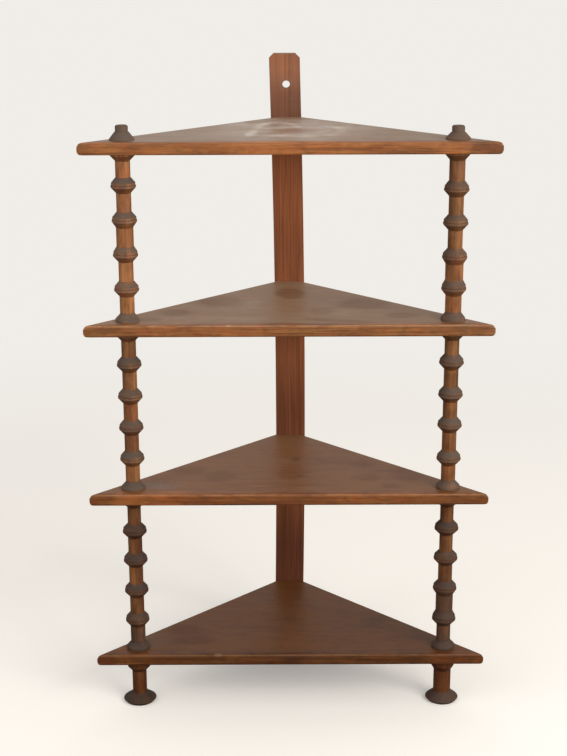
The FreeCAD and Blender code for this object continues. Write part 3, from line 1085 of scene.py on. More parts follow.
@dataclass
class BackBatten:
    """Bowed strip up the back corner, with clipped top corners, a hanging hole and sunk screw holes."""

    finish: WoodFinish
    node: str = "back_batten"
    clip: float = 6 * MM
    rings: int = 48
    ring_catch: float = 2 * MM
    arris: float = 0.7 * MM
    rim_arris: float = 0.4 * MM
    rim_catch: float = 0.05 * MM
    side_share: float = 0.32
    head: float = 85 * MM
    head_film: float = 0.5
    sink_depth: float = 2.5 * MM
    sink_radius: float = 3.6 * MM
    drill_sides: int = 40
    head_catch: float = 0.01 * MM
    row_catch: float = 8 * MM
    arris_wear: float = 0.5 * MM
    rim_wear: float = 0.25 * MM
    rim_wear_from: float = 0.1 * MM

    @property
    def hole(self) -> tuple[Vector, float]:
        """Middle and radius of the hanging hole."""
        mount = next(mount for mount in frame["record"]["mounts"] if mount["name"] == "hanging_hole")
        return Vector(mount["pos_m"]), mount["dims"]["r_mm"] * MM

    def sides_at(self, heights: np.ndarray) -> np.ndarray:
        """Where the frame's batten has its two long sides.

        Args:
            heights: Heights above the floor.

        Returns:
            X of the left and of the right side in two rows.
        """
        low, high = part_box(self.node)
        places = Bench.points(frame["nodes"][self.node])
        shoulder = places[:, 2] < high.z - self.clip + SAME_PLACE
        away = places[:, 0] - (low.x + high.x) / 2
        sides = []
        for way in (-1, 1):
            rim = places[shoulder & (way * away > self.side_share * (high.x - low.x))]
            rim = rim[np.argsort(rim[:, 2])]
            sides.append(np.interp(heights, rim[:, 2], rim[:, 0]))
        return np.array(sides)

    def build(self) -> Piece:
        """Model the strip: a block drawn into a bow, its corners clipped, its arrises eased, its holes cut.

        Returns:
            The finished strip.
        """
        low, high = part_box(self.node)
        heights = np.linspace(low.z, high.z, self.rings + 2)
        lefts, rights = self.sides_at(np.minimum(heights, high.z - self.clip))
        strip = Bench.block(
            "back_batten_strip", Vector((lefts[0], low.y, low.z)), Vector((rights[0], high.y, high.z))
        )
        Bench.pick_edges(strip, lambda ends: abs(ends[0].z - ends[1].z) > self.clip)
        bpy.ops.mesh.subdivide(number_cuts=self.rings)
        for height, left in zip(heights[1:], lefts[1:]):
            Bench.pick_verts(strip, lambda at: abs(at.z - height) < self.ring_catch)
            bpy.ops.transform.translate(value=(left - lefts[0], 0, 0))
        for way, side in ((-1, lefts[-1]), (1, rights[-1])):
            shoulder = Vector((side, 0, high.z - self.clip))
            Bench.cut(shoulder, Vector((way, 0, 1)).normalized(), drop=True)
        Bench.pick_arrises(strip, ARRIS_TURN)
        Bench.round_over(self.arris, 3)
        bpy.ops.object.mode_set(mode="OBJECT")
        self.cut_holes(strip)
        bpy.ops.object.mode_set(mode="EDIT")
        hole, radius = self.hole

        def on_rim(ends: list[Vector]) -> bool:
            """Whether an edge lies on the hanging hole's rim, at one of its two mouths."""
            away = [abs(math.hypot(end.x - hole.x, end.z - hole.z) - radius) for end in ends]
            return abs(ends[0].y - ends[1].y) < SAME_PLACE and max(away) < self.rim_catch

        Bench.pick_edges(strip, on_rim)
        Bench.round_over(self.rim_arris, 2)
        Bench.close(strip, FLAT_SMOOTH)
        return strip

    def cut_holes(self, strip: Piece) -> None:
        """Cut the hanging hole through and the screw holes into the back.

        Args:
            strip: The strip, in object mode.
        """
        low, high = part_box(self.node)
        holes = [(*self.hole, 2 * (high.y - low.y))]
        screws = Bench.points(frame["nodes"]["batten_screws"])
        heads = screws[screws[:, 1] > high.y - self.head_catch]
        for height in np.unique(np.round(heads[:, 2], 2)):
            row = heads[np.abs(heads[:, 2] - height) < self.row_catch]
            for head in (row[row[:, 0] < 0], row[row[:, 0] > 0]):
                middle = (head.min(0) + head.max(0)) / 2
                mouth = Vector((middle[0], high.y, middle[2]))
                holes.append((mouth, self.sink_radius, 2 * self.sink_depth))
        for centre, radius, depth in holes:
            bpy.ops.object.select_all(action="DESELECT")
            bpy.ops.mesh.primitive_cylinder_add(
                vertices=self.drill_sides,
                radius=radius,
                depth=depth,
                location=centre,
                rotation=(math.pi / 2, 0, 0),
            )
            drill = bpy.context.active_object
            bpy.context.view_layer.objects.active = strip
            bore = strip.modifiers.new("bore", "BOOLEAN")
            bore.object = drill
            bore.operation = "DIFFERENCE"
            bore.solver = "EXACT"
            bpy.ops.object.modifier_apply(modifier=bore.name)
            bpy.data.objects.remove(drill)
        strip.select_set(True)

    def dress(self, strip: Piece) -> None:
        """Mark the worn arrises and give the strip its finish.

        Args:
            strip: The finished strip.
        """
        low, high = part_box(self.node)
        hole, radius = self.hole
        x, y, z = Bench.points(strip).T
        left, right = self.sides_at(np.minimum(z, high.z - self.clip))
        edge = np.minimum(np.minimum(x - left, right - x), high.z - z)
        face = np.minimum(y - low.y, high.y - y)
        rim = np.abs(np.hypot(x - hole.x, z - hole.z) - radius - self.rim_wear_from)
        worn_arris = np.maximum(edge, face) < self.arris_wear
        worn_rim = np.maximum(rim, face) < self.rim_wear
        Bench.paint(strip, "wear", worn_arris | worn_rim)
        Bench.paint(strip, "film", np.where(z > high.z - self.head, self.head_film, 0.0))
        Bench.seat(strip, self.node, "batten_wood", self.finish.material())


@dataclass(frozen=True)
class Station:
    """Ring on a turned piece: its radius and height, and how far it stands out (+) or lies in (-)."""

    radius: float
    height: float
    relief: float = 0.0


@dataclass
class Lathe:
    """Turns round pieces: draws a half profile with eased corners and spins it about its axis."""

    steps: int = 72
    arris: float = 0.45 * MM
    cove: float = 1.4 * MM
    share: float = 0.3
    facets: int = 4
    core: float = 6 * MM
    run: float = 3.5 * MM
    near: float = 0.05 * MM
    straight: float = math.radians(3)
    most_back: float = 0.45
    wear_gain: float = 1.4
    grime_gain: float = 1.2
    most_grime: float = 0.8

    def corners(self, node: str) -> list[Ring]:
        """Outside corners of a node's half profile, from the bottom up.

        Args:
            node: The frame's node.

        Returns:
            Radius and height of each corner.
        """
        low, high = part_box(node)
        x, y, z = Bench.points(frame["nodes"][node]).T
        radii = np.hypot(x - (low.x + high.x) / 2, y - (low.y + high.y) / 2)
        rings = {
            (round(float(radius), 5), round(float(height), 5))
            for radius, height in zip(radii, z)
            if radius > self.core
        }
        ordered: list[Ring] = []
        for _, level in groupby(sorted(rings, key=lambda ring: ring[1]), key=lambda ring: ring[1]):
            last = ordered[-1][0] if ordered else 0.0
            ordered += sorted(level, key=lambda ring: abs(ring[0] - last))
        kept = [ordered[0]]
        for ring in ordered[1:]:
            if math.dist(ring, kept[-1]) > self.near:
                kept.append(ring)
        return kept

    def eased(self, corners: list[Ring]) -> list[Station]:
        """Round every corner of a half profile.

        Args:
            corners: Radius and height of each corner, from the bottom up.

        Returns:
            The rings to draw, from axis to axis.
        """
        path = [(0.0, corners[0][1]), *corners, (0.0, corners[-1][1])]
        rings = [Station(*path[0])]
        for before, corner, after in zip(path, path[1:], path[2:]):
            rings += self.round_corner(Vector(before), Vector(corner), Vector(after))
        rings.append(Station(*path[-1]))
        stations = rings[:1]
        for last, ring in zip(rings, rings[1:]):
            length = math.dist((last.radius, last.height), (ring.radius, ring.height))
            for share in np.linspace(0, 1, math.ceil(length / self.run) + 1)[1:-1]:
                radius = last.radius + share * (ring.radius - last.radius)
                stations.append(Station(radius, last.height + share * (ring.height - last.height)))
            stations.append(ring)
        return stations

    def round_corner(self, before: Vector, corner: Vector, after: Vector) -> list[Station]:
        """Arc that stands for one corner.

        Args:
            before: Corner below.
            corner: The corner.
            after: Corner above.

        Returns:
            The arc's rings.
        """
        come, go = (corner - before), (after - corner)
        reach = min(come.length, go.length)
        come.normalize()
        go.normalize()
        turn = math.atan2(come.x * go.y - come.y * go.x, come.dot(go))
        if abs(turn) < self.straight:
            return [Station(corner.x, corner.y)]
        radius = min(self.arris if turn > 0 else self.cove, self.share * reach)
        back = min(radius * math.tan(abs(turn) / 2), self.most_back * reach)
        start, end = corner - come * back, corner + go * back
        relief = turn / (math.pi / 2)
        rings = []
        for facet in range(self.facets + 1):
            share = facet / self.facets
            at = start * (1 - share) ** 2 + corner * 2 * share * (1 - share) + end * share**2
            rings.append(Station(at.x, at.y, relief * math.sin(math.pi * share)))
        return rings

    def turn(self, name: str, axis: Vector, stations: list[Station]) -> Piece:
        """Draw the half profile vertex by vertex and spin it.

        Args:
            name: Name of the new piece.
            axis: Point on the upright axis.
            stations: The rings, from axis to axis.

        Returns:
            The turned piece, with its relief stored per vertex.
        """
        piece = Bench.start(name, lambda: bpy.ops.mesh.primitive_plane_add(size=MM))
        bpy.ops.mesh.merge(type="CENTER")
        bpy.ops.transform.translate(value=(axis.x + stations[0].radius, axis.y, stations[0].height))
        for last, station in zip(stations, stations[1:]):
            move = (station.radius - last.radius, 0, station.height - last.height)
            bpy.ops.mesh.extrude_vertices_move(TRANSFORM_OT_translate={"value": move})
        bpy.ops.mesh.select_all(action="SELECT")
        bpy.ops.mesh.spin(steps=self.steps, angle=2 * math.pi, center=(axis.x, axis.y, 0), axis=(0, 0, 1))
        Bench.close(piece, ROUND_SMOOTH)
        self.store_relief(piece, axis, stations)
        return piece

    def store_relief(self, piece: Piece, axis: Vector, stations: list[Station]) -> None:
        """Store how far each vertex stands out as wear, which on the bead ridges is also a painted
        highlight, and how far it lies in as grime.

        Args:
            piece: The turned piece.
            axis: Point on its axis.
            stations: The rings that it was drawn with.
        """
        places = Bench.points(piece)
        radii = np.hypot(places[:, 0] - axis.x, places[:, 1] - axis.y)
        drawn = np.array([(station.radius, station.height) for station in stations])
        away = np.abs(radii[:, None] - drawn[:, 0]) + np.abs(places[:, 2:3] - drawn[:, 1])
        relief = np.array([station.relief for station in stations])[away.argmin(1)]
        Bench.paint(piece, "wear", np.clip(relief * self.wear_gain, 0, 1))
        Bench.paint(piece, "grime", np.clip(-relief * self.grime_gain, 0, self.most_grime))


@dataclass(frozen=True)
class PostFinish:
    """Finishes of a post's pieces, from the floor up."""

    foot: WoodFinish
    lower: WoodFinish
    middle: WoodFinish
    upper: WoodFinish
    finial: WoodFinish

    def of(self, node: str) -> WoodFinish:
        """Finish of one of the frame's nodes."""
        return next(getattr(self, part) for part in self.__dataclass_fields__ if part in node)


@dataclass
class FrontPost:
    """Post at a front corner: a turned foot, three beaded spindles and a finial."""

    side: Side
    finish: PostFinish
    lathe: Lathe = field(default_factory=Lathe)
    stub_waist: float = 0.4 * MM
    collar_height: float = 10 * MM
    bun_height: float = 16 * MM
    neck_radius: float = 11.5 * MM
    bead_radius: float = 14 * MM
    dusty_rise: float = 36 * MM
    bead_film: float = 0.5
    collar_film: float = 0.9
    dusty_film: float = 0.55
    bun_film: float = 0.7
    neck_film: float = 0.4

    @property
    def nodes(self) -> list[str]:
        """The frame's nodes from the floor up."""
        spindles = [f"spindle_{tier.value}_{self.side.value}" for tier in Tier]
        return [f"foot_{self.side.value}", *spindles, f"finial_{self.side.value}"]

    def profile(self, node: str) -> list[Ring]:
        """Outside corners of a node's half profile, a finial's stub drawn in at the waist.

        Args:
            node: The frame's node.

        Returns:
            Radius and height of each corner, from the bottom up.
        """
        corners = self.lathe.corners(node)
        if node.startswith("finial"):
            (low_radius, low_height), (high_radius, high_height) = corners[-3], corners[-2]
            waist = (min(low_radius, high_radius) - self.stub_waist, (low_height + high_height) / 2)
            corners.insert(-2, waist)
        return corners

    def build(self) -> dict[str, Piece]:
        """Turn the post's pieces.

        Returns:
            The turned pieces by the node that each stands for.
        """
        pieces = {}
        for node in self.nodes:
            low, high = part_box(node)
            stations = self.lathe.eased(self.profile(node))
            pieces[node] = self.lathe.turn(f"{node}_turned", (low + high) / 2, stations)
        return pieces

    def dress(self, pieces: dict[str, Piece]) -> None:
        """Lay films of dust on beads, collars and stubs, and give the pieces their finishes.

        Args:
            pieces: The turned pieces by node.
        """
        for node, piece in pieces.items():
            low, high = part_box(node)
            middle = (low + high) / 2
            x, y, z = Bench.points(piece).T
            radii, rise = np.hypot(x - middle.x, y - middle.y), z - low.z
            if node.startswith("spindle"):
                bead = (radii > self.bead_radius) & (z < high.z - self.collar_height)
                film = np.where(bead, self.bead_film, 0.0)
                if Tier.LOWER.value in node:
                    film = np.where(rise < self.dusty_rise, self.dusty_film, film)
                film = np.where(rise < self.collar_height, self.collar_film, film)
            elif node.startswith("foot"):
                film = np.where(radii > self.neck_radius, self.bun_film, self.neck_film)
                film = film * (rise < self.bun_height)
            else:
                film = np.ones(len(z))
            Bench.paint(piece, "film", film)
            Bench.seat(piece, node, "turned_wood", self.finish.of(node).material())


@dataclass
class Joinery:
    """The hidden dowels and the batten screws, which keep the frame's solids."""

    dowel_finish: WoodFinish
    screw_finish: ScrewFinish = ScrewFinish()

    def dress(self) -> None:
        """Give the dowels and the screws their finishes."""
        steel = self.screw_finish.material()
        beech = self.dowel_finish.material()
        for node, solid in frame["nodes"].items():
            if node.startswith("dowel_") or node == "batten_screws":
                solid.data.materials.clear()
                solid.data.materials.append(steel if node == "batten_screws" else beech)
                LOG.info("%s keeps its solid", node)


@dataclass(frozen=True)
class Lamp:
    """Soft square lamp, by its place, its side and its power."""

    name: str
    at: tuple[float, float, float]
    size: float
    watts: float
    colour: Colour

    def hang(self, aim: Vector) -> None:
        """Hang the lamp so that it looks at a point.

        Args:
            aim: The point.
        """
        bpy.ops.object.light_add(type="AREA", location=self.at)
        lamp = bpy.context.active_object
        lamp.name = self.name
        lamp.rotation_euler = (aim - Vector(self.at)).to_track_quat("-Z", "Y").to_euler()
        lamp.data.size = self.size
        lamp.data.energy = self.watts
        lamp.data.color = self.colour[:3]


@dataclass
class Studio:
    """Pale floor, soft light and the camera at the photograph's angle."""

    image_height: int = 756
    sensor: float = 36.0
    focal_pixels: float = 1526.82
    camera_at: tuple[float, float, float] = (-0.01209, -1.90503, 0.99461)
    pitch: float = 0.29593
    yaw: float = 0.0019826
    roll: float = -0.0028709
    floor_size: float = 80.0
    floor_colour: Colour = srgb(240, 237, 232)
    floor_bounce: Colour = srgb(120, 116, 112)
    far_colour: Colour = srgb(240, 237, 232)
    floor_glow: float = 0.24
    floor_rough: float = 0.95
    floor_sheen: float = 0.05
    shadow_reach: float = 0.6
    shadow_end: float = 1.8
    ambient: Colour = srgb(252, 249, 245)
    ambient_strength: float = 0.62
    aim: tuple[float, float, float] = (0, 0, 0.42)
    lamps: tuple[Lamp, ...] = (
        Lamp("key", (1.6, -1.7, 1.2), 1.5, 45, srgb(255, 250, 243)),
        Lamp("fill", (-1.05, -0.8, 0.8), 1.0, 3.5, srgb(255, 252, 248)),
    )

    def set_camera(self) -> None:
        """Place the camera with the photograph's view and make it the scene's."""
        forward = Vector(
            (
                math.sin(self.yaw) * math.cos(self.pitch),
                math.cos(self.yaw) * math.cos(self.pitch),
                -math.sin(self.pitch),
            )
        )
        level = Vector((math.cos(self.yaw), -math.sin(self.yaw), 0))
        upright = level.cross(forward)
        right = level * math.cos(self.roll) + upright * math.sin(self.roll)
        above = upright * math.cos(self.roll) - level * math.sin(self.roll)
        bpy.ops.object.camera_add()
        camera = bpy.context.active_object
        turn = Matrix((right, above, -forward)).transposed().to_4x4()
        camera.matrix_world = Matrix.Translation(self.camera_at) @ turn
        camera.data.sensor_width = self.sensor
        camera.data.lens = self.focal_pixels * self.sensor / self.image_height
        bpy.context.scene.camera = camera

    def lay_floor(self) -> None:
        """Lay the pale floor: shaded near the unit, fading to an even pale tone, dull to bounced light."""
        bpy.ops.object.select_all(action="DESELECT")
        bpy.ops.mesh.primitive_plane_add(size=self.floor_size)
        floor = bpy.context.active_object
        floor.name = "floor"
        material = bpy.data.materials.new("pale_floor")
        material.use_nodes = True
        wiring = Wiring(material.node_tree)
        near = material.node_tree.nodes["Principled BSDF"]
        near.inputs["Base Color"].default_value = self.floor_colour
        near.inputs["Roughness"].default_value = self.floor_rough
        near.inputs["Specular IOR Level"].default_value = self.floor_sheen
        near.inputs["Emission Color"].default_value = self.far_colour
        near.inputs["Emission Strength"].default_value = self.floor_glow
        glow = wiring.node("ShaderNodeEmission")
        glow.inputs["Color"].default_value = self.far_colour
        bounce = wiring.node("ShaderNodeBsdfDiffuse")
        bounce.inputs["Color"].default_value = self.floor_bounce
        away = wiring.vector("LENGTH", wiring.node("ShaderNodeTexCoord").outputs["Object"])
        far = wiring.between(away.outputs["Value"], self.shadow_reach, self.shadow_end)
        seen = wiring.blend(far, near.outputs[0], glow.outputs[0])
        direct = wiring.node("ShaderNodeLightPath").outputs["Is Camera Ray"]
        whole = wiring.blend(direct, bounce.outputs[0], seen)
        wiring.feed(material.node_tree.nodes["Material Output"].inputs["Surface"], whole)
        floor.data.materials.append(material)

    def light(self) -> None:
        """Set the soft room light and hang the lamps."""
        world = bpy.data.worlds.new("soft_room")
        world.use_nodes = True
        wiring = Wiring(world.node_tree)
        room = world.node_tree.nodes["Background"]
        room.inputs["Color"].default_value = self.ambient
        room.inputs["Strength"].default_value = self.ambient_strength
        backdrop = wiring.node("ShaderNodeBackground")
        backdrop.inputs["Color"].default_value = self.far_colour
        direct = wiring.node("ShaderNodeLightPath").outputs["Is Camera Ray"]
        whole = wiring.blend(direct, room.outputs[0], backdrop.outputs[0])
        wiring.feed(world.node_tree.nodes["World Output"].inputs["Surface"], whole)
        bpy.context.scene.world = world
        for lamp in self.lamps:
            lamp.hang(Vector(self.aim))

    def build(self) -> None:
        """Set the whole studio and the view transform."""
        bpy.context.scene.view_settings.view_transform = "Standard"
        self.lay_floor()
        self.light()
        self.set_camera()
        LOG.info("studio set")


BOARD_STAIN = Stain(
    light=srgb(166, 106, 58),
    mid=srgb(144, 90, 50),
    dark=srgb(96, 56, 32),
    tint=srgb(128, 78, 46),
    worn=srgb(190, 142, 104),
)
TURNED_STAIN = Stain(
    light=srgb(184, 126, 76),
    mid=srgb(152, 99, 59),
    dark=srgb(84, 50, 32),
    tint=srgb(124, 76, 50),
    worn=srgb(120, 84, 62),
    # Dirt in the grooves, and the painted shade on faces that look down.
    grime=srgb(76, 43, 29),
    dust=srgb(102, 86, 75),
)
BATTEN_STAIN = Stain(
    light=srgb(172, 106, 69),
    mid=srgb(148, 90, 58),
    dark=srgb(88, 50, 33),
    tint=srgb(134, 80, 52),
    worn=srgb(150, 98, 68),
    # What the batten's darkened marks leave of the colour: scuffs round the hole, and bands of painted
    # shade.
    aged=(0.15, 0.14, 0.26, 1.0),
)
BEECH = Stain(
    light=srgb(214, 180, 132),
    mid=srgb(196, 158, 112),
    dark=srgb(150, 112, 74),
    tint=srgb(202, 166, 120),
    worn=srgb(214, 180, 132),
)
ANY = 10.0
SHAFT_SECTIONS = 5
SHAFT_SHARE = 0.42
NICK_DEEP = 4 * MM
NICK_TALL = 2.2 * MM
NICK_STRENGTH = 0.8
BARED_AGE = 0.3


def spot(
    kind: MarkKind, x: float, y: float, wide: float, deep: float, strength: float, **look: object
) -> Mark:
    """Mark on a shelf top by its middle, its reach along X and Y, all in millimetres, and its strength."""
    return Mark(kind, (x * MM, y * MM, 0.0), (wide * MM, deep * MM, ANY), strength, **look)


def stroke(
    kind: MarkKind, path: Sequence[tuple[float, float]], width: float, strength: float, **look: object
) -> list[Mark]:
    """Stroke of a cloth on a shelf top: ovals along a path, with sizes in millimetres.

    Args:
        kind: What the stroke does.
        path: X and Y of the points that it passes.
        width: Half its width.
        strength: How strongly it shows.
        look: Other fields of its marks.

    Returns:
        One mark for each leg of the path.
    """
    marks = []
    for (x0, y0), (x1, y1) in zip(path, path[1:]):
        reach = math.hypot(x1 - x0, y1 - y0) / 2 + width
        turn = math.degrees(math.atan2(y1 - y0, x1 - x0))
        marks.append(spot(kind, (x0 + x1) / 2, (y0 + y1) / 2, reach, width, strength, turn=turn, **look))
    return marks


def nick(level: Level, x: float, wide: float) -> Mark:
    """Chip in a shelf's upper front arris, with its sizes in millimetres.

    Args:
        level: The shelf.
        x: Its middle from the left to the right.
        wide: Half its width.

    Returns:
        The mark.
    """
    low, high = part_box(f"shelf_{level.value}")
    reach = (wide * MM, NICK_DEEP, NICK_TALL)
    return Mark(MarkKind.CHIPPED, (x * MM, low.y, high.z), reach, NICK_STRENGTH, ragged=0.6, broken=0.6)


def shelf_finish(level: Level) -> BoardFinish:
    """Finish of one shelf: the higher it stands, the more dust it holds; the lower it stands, the more its
    stain is deepened, as painted shade darker towards the floor.

    Args:
        level: The shelf.

    Returns:
        Its finish.
    """

    def bared(marks: Sequence[Mark]) -> tuple[Mark, ...]:
        """Marks with the wood darker where no dust lies on it.

        Args:
            marks: The shelf's marks.

        Returns:
            Those marks, and a darker one under each clean one.
        """
        clean = (mark for mark in marks if mark.kind is MarkKind.CLEAN)
        aged = (replace(mark, kind=MarkKind.AGED, strength=BARED_AGE * mark.strength) for mark in clean)
        return (*marks, *aged)

    name = f"stained_board_{level.value}"
    low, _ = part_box(f"shelf_{level.value}")
    soft = {"ragged": 0.35, "soft": 0.6}
    cloth = {"ragged": 0.45, "soft": 0.8, "broken": 0.7}
    faint = {"ragged": 0.3, "soft": 0.45, "broken": 0.4}
    stood = {"ragged": 0.15, "soft": 0.25, "broken": 0.1}
    even = {"ragged": 0.1, "broken": 0.0}
    if level is Level.TOP:
        rise = ((-48, -62), (-46, -40), (-42, -5), (-37, 27), (-28, 48), (-17, 59))
        fall = ((-17, 59), (-6, 52), (3, 40), (9, 24), (13, 10))
        loop = ((26, 8), (36, 14), (50, 22), (60, 12), (64, -8), (62, -30), (57, -48), (47, -63))
        marks = (
            spot(MarkKind.WIPED, 4, -12, 76, 70, 0.6, soft=0.8, broken=0.7),
            *stroke(MarkKind.WIPED, rise, 8, 1.0, **cloth),
            *stroke(MarkKind.WIPED, fall, 8, 1.0, **cloth),
            *stroke(MarkKind.WIPED, loop, 9, 0.8, **cloth),
            *stroke(MarkKind.WIPED, ((-6, 36), (-5, 20), (-3, 8)), 3, 0.6, **soft),
            *stroke(MarkKind.WIPED, ((-24, -62), (4, -70), (32, -66)), 14, 0.8, **cloth),
            spot(MarkKind.WIPED, -62, 40, 14, 26, 0.5, soft=0.8),
            spot(MarkKind.WIPED, -18, 92, 12, 8, 0.6, soft=0.6),
            spot(MarkKind.CLEAN, 5, -20, 29, 22, 0.6, ragged=0.4, soft=0.5, broken=0.3),
            *stroke(MarkKind.CLEAN, ((-36, -48), (-20, -42), (-4, -32)), 10, 0.6, **soft),
            spot(MarkKind.CLEAN, -20, 30, 9, 16, 0.55, soft=0.5),
            spot(MarkKind.CLEAN, 50, 47, 14, 14, 0.3, soft=0.7),
            # Painted shade: an even darkening over the right part of the top, against the lamp on the
            # right.
            spot(MarkKind.SOILED, 155, -60, 90, 70, 0.3, soft=0.8, **even),
            # Darker right end of the front edge: partly a darker stain, partly painted shade against the
            # lamp on the right.
            spot(MarkKind.AGED, 240, -120, 30, 40, 0.6, ragged=0.2, soft=0.2, broken=0.3),
            spot(MarkKind.FADED, -8, -120, 62, 20, 0.6, soft=0.7, broken=0.3),
            spot(MarkKind.FADED, 188, -120, 16, 20, 0.4, soft=0.5, broken=0.3),
            # Painted shade along the right part of the front edge, which the lamp on the right lights more.
            spot(MarkKind.AGED, 165, -120, 70, 20, 0.24, soft=0.6, broken=0.5),
        )
        stain = replace(BOARD_STAIN.deepened(1.2, 1.02), dust=srgb(168, 145, 127))
        return BoardFinish(name, stain, dust=1.05, least=0.75, wear=0.2, marks=bared(marks))
    if level is Level.UPPER_MIDDLE:
        marks = (
            spot(MarkKind.CLEAN, 1.5, 41, 21, 28, 0.55, **stood),
            spot(MarkKind.AGED, 1.5, 41, 21, 28, 0.5, **stood),
            spot(MarkKind.SOILED, -90, -3, 31, 27, 0.56, **faint),
            spot(MarkKind.SOILED, -143, -57, 20, 16, 0.56, **faint),
            spot(MarkKind.SOILED, 93, -13, 34, 27, 0.6, **faint),
            spot(MarkKind.SOILED, 137, -73, 22, 14, 0.6, **faint),
            spot(MarkKind.SOILED, 40, -53, 16, 16, 0.38, **faint),
            spot(MarkKind.SOILED, -173, -90, 16, 11, 0.45, **faint),
            *stroke(MarkKind.SOILED, ((25, -92), (55, -97), (95, -106)), 7, 0.45, **faint),
            spot(MarkKind.WIPED, -60, -15, 28, 30, 0.3, soft=0.8),
            spot(MarkKind.WIPED, -110, -88, 70, 18, 0.3, soft=0.8),
            spot(MarkKind.WIPED, 62, -58, 24, 20, 0.2, soft=0.8),
            # Painted shade: an even darkening over the right part of the top, against the lamp on the
            # right.
            spot(MarkKind.SOILED, 150, -60, 80, 70, 0.15, soft=0.8, **even),
            spot(MarkKind.FADED, -95, -120, 65, 20, 0.4, soft=0.7, broken=0.5),
            spot(MarkKind.AGED, -12, -120, 18, 20, 0.22, soft=0.6, broken=0.3),
            spot(MarkKind.AGED, 210, -120, 55, 20, 0.25, soft=0.6, broken=0.5),
            nick(level, -75, 4),
        )
        stain = replace(BOARD_STAIN.deepened(1.04, 1.06), dust=srgb(156, 125, 98))
        wiped = srgb(190, 164, 144)
        return BoardFinish(name, stain, dust=1.0, least=0.7, wiped=wiped, marks=bared(marks))
    if level is Level.LOWER_MIDDLE:
        marks = (
            spot(MarkKind.CLEAN, 3, -42, 21, 30, 0.75, ragged=0.2, soft=0.45, broken=0.2),
            spot(MarkKind.SOILED, -132, -33, 22, 17, 0.36, **faint),
            spot(MarkKind.SOILED, -90, -53, 18, 18, 0.36, **faint),
            spot(MarkKind.SOILED, 97, -10, 18, 13, 0.38, **faint),
            spot(MarkKind.SOILED, 100, -60, 18, 14, 0.4, **faint),
            spot(MarkKind.SOILED, 127, -90, 13, 9, 0.45, **faint),
            spot(MarkKind.SOILED, 150, -45, 20, 30, 0.41, **faint),
            spot(MarkKind.CLEAN, -10, -85, 70, 20, 0.5, soft=0.7),
            spot(MarkKind.WIPED, -167, -87, 28, 13, 0.8, soft=0.7),
            spot(MarkKind.SOILED, 8, 8, 6, 9, 0.5, ragged=0.6),
            # Painted shade: a dark band along the left of the lower front arris.
            Mark(MarkKind.AGED, (-75 * MM, low.y, low.z), (52 * MM, 6 * MM, 2.4 * MM), 1.0, soft=0.5),
            spot(MarkKind.FADED, -168, -120, 46, 20, 1.0, soft=0.6, broken=0.3),
            spot(MarkKind.FADED, 55, -120, 70, 20, 0.35, soft=0.7, broken=0.5),
            spot(MarkKind.AGED, -248, -120, 20, 20, 0.25, soft=0.6, broken=0.3),
            spot(MarkKind.AGED, 215, -120, 36, 20, 0.3, soft=0.6, broken=0.3),
        )
        stain = replace(BOARD_STAIN.deepened(0.83, 0.97), dust=srgb(131, 92, 62))
        wiped = srgb(126, 112, 104)
        return BoardFinish(name, stain, dust=0.9, sheen=0.3, wiped=wiped, marks=bared(marks))
    marks = (
        spot(MarkKind.CLEAN, 2, 45, 17, 60, 0.5, **soft),
        spot(MarkKind.SOILED, -140, -47, 22, 15, 0.49, **faint),
        spot(MarkKind.SOILED, -127, -77, 24, 13, 0.49, **faint),
        spot(MarkKind.SOILED, 110, -25, 20, 15, 0.49, **faint),
        spot(MarkKind.WIPED, -186, -75, 20, 20, 0.5, soft=0.7),
        # Painted shade: an even darkening over the right part of the top, against the lamp on the right.
        spot(MarkKind.SOILED, 150, -60, 80, 70, 0.25, soft=0.8, **even),
        spot(MarkKind.FADED, -236, -120, 34, 40, 1.2, soft=0.5, broken=0.3),
        spot(MarkKind.FADED, 236, -120, 28, 40, 0.7, soft=0.5),
        spot(MarkKind.FADED, -192, -120, 20, 20, 0.6, soft=0.6, broken=0.5),
        spot(MarkKind.FADED, 192, -120, 16, 20, 0.7, soft=0.6, broken=0.5),
        spot(MarkKind.AGED, 15, -120, 70, 20, 0.3, soft=0.7, broken=0.5),
        spot(MarkKind.AGED, 150, -120, 26, 20, 0.3, soft=0.6, broken=0.5),
        nick(level, -94, 5),
    )
    stain = replace(BOARD_STAIN.deepened(0.42, 0.97), dust=srgb(106, 65, 32))
    wiped = srgb(112, 96, 86)
    return BoardFinish(name, stain, dust=0.75, sheen=0.25, wiped=wiped, marks=bared(marks))


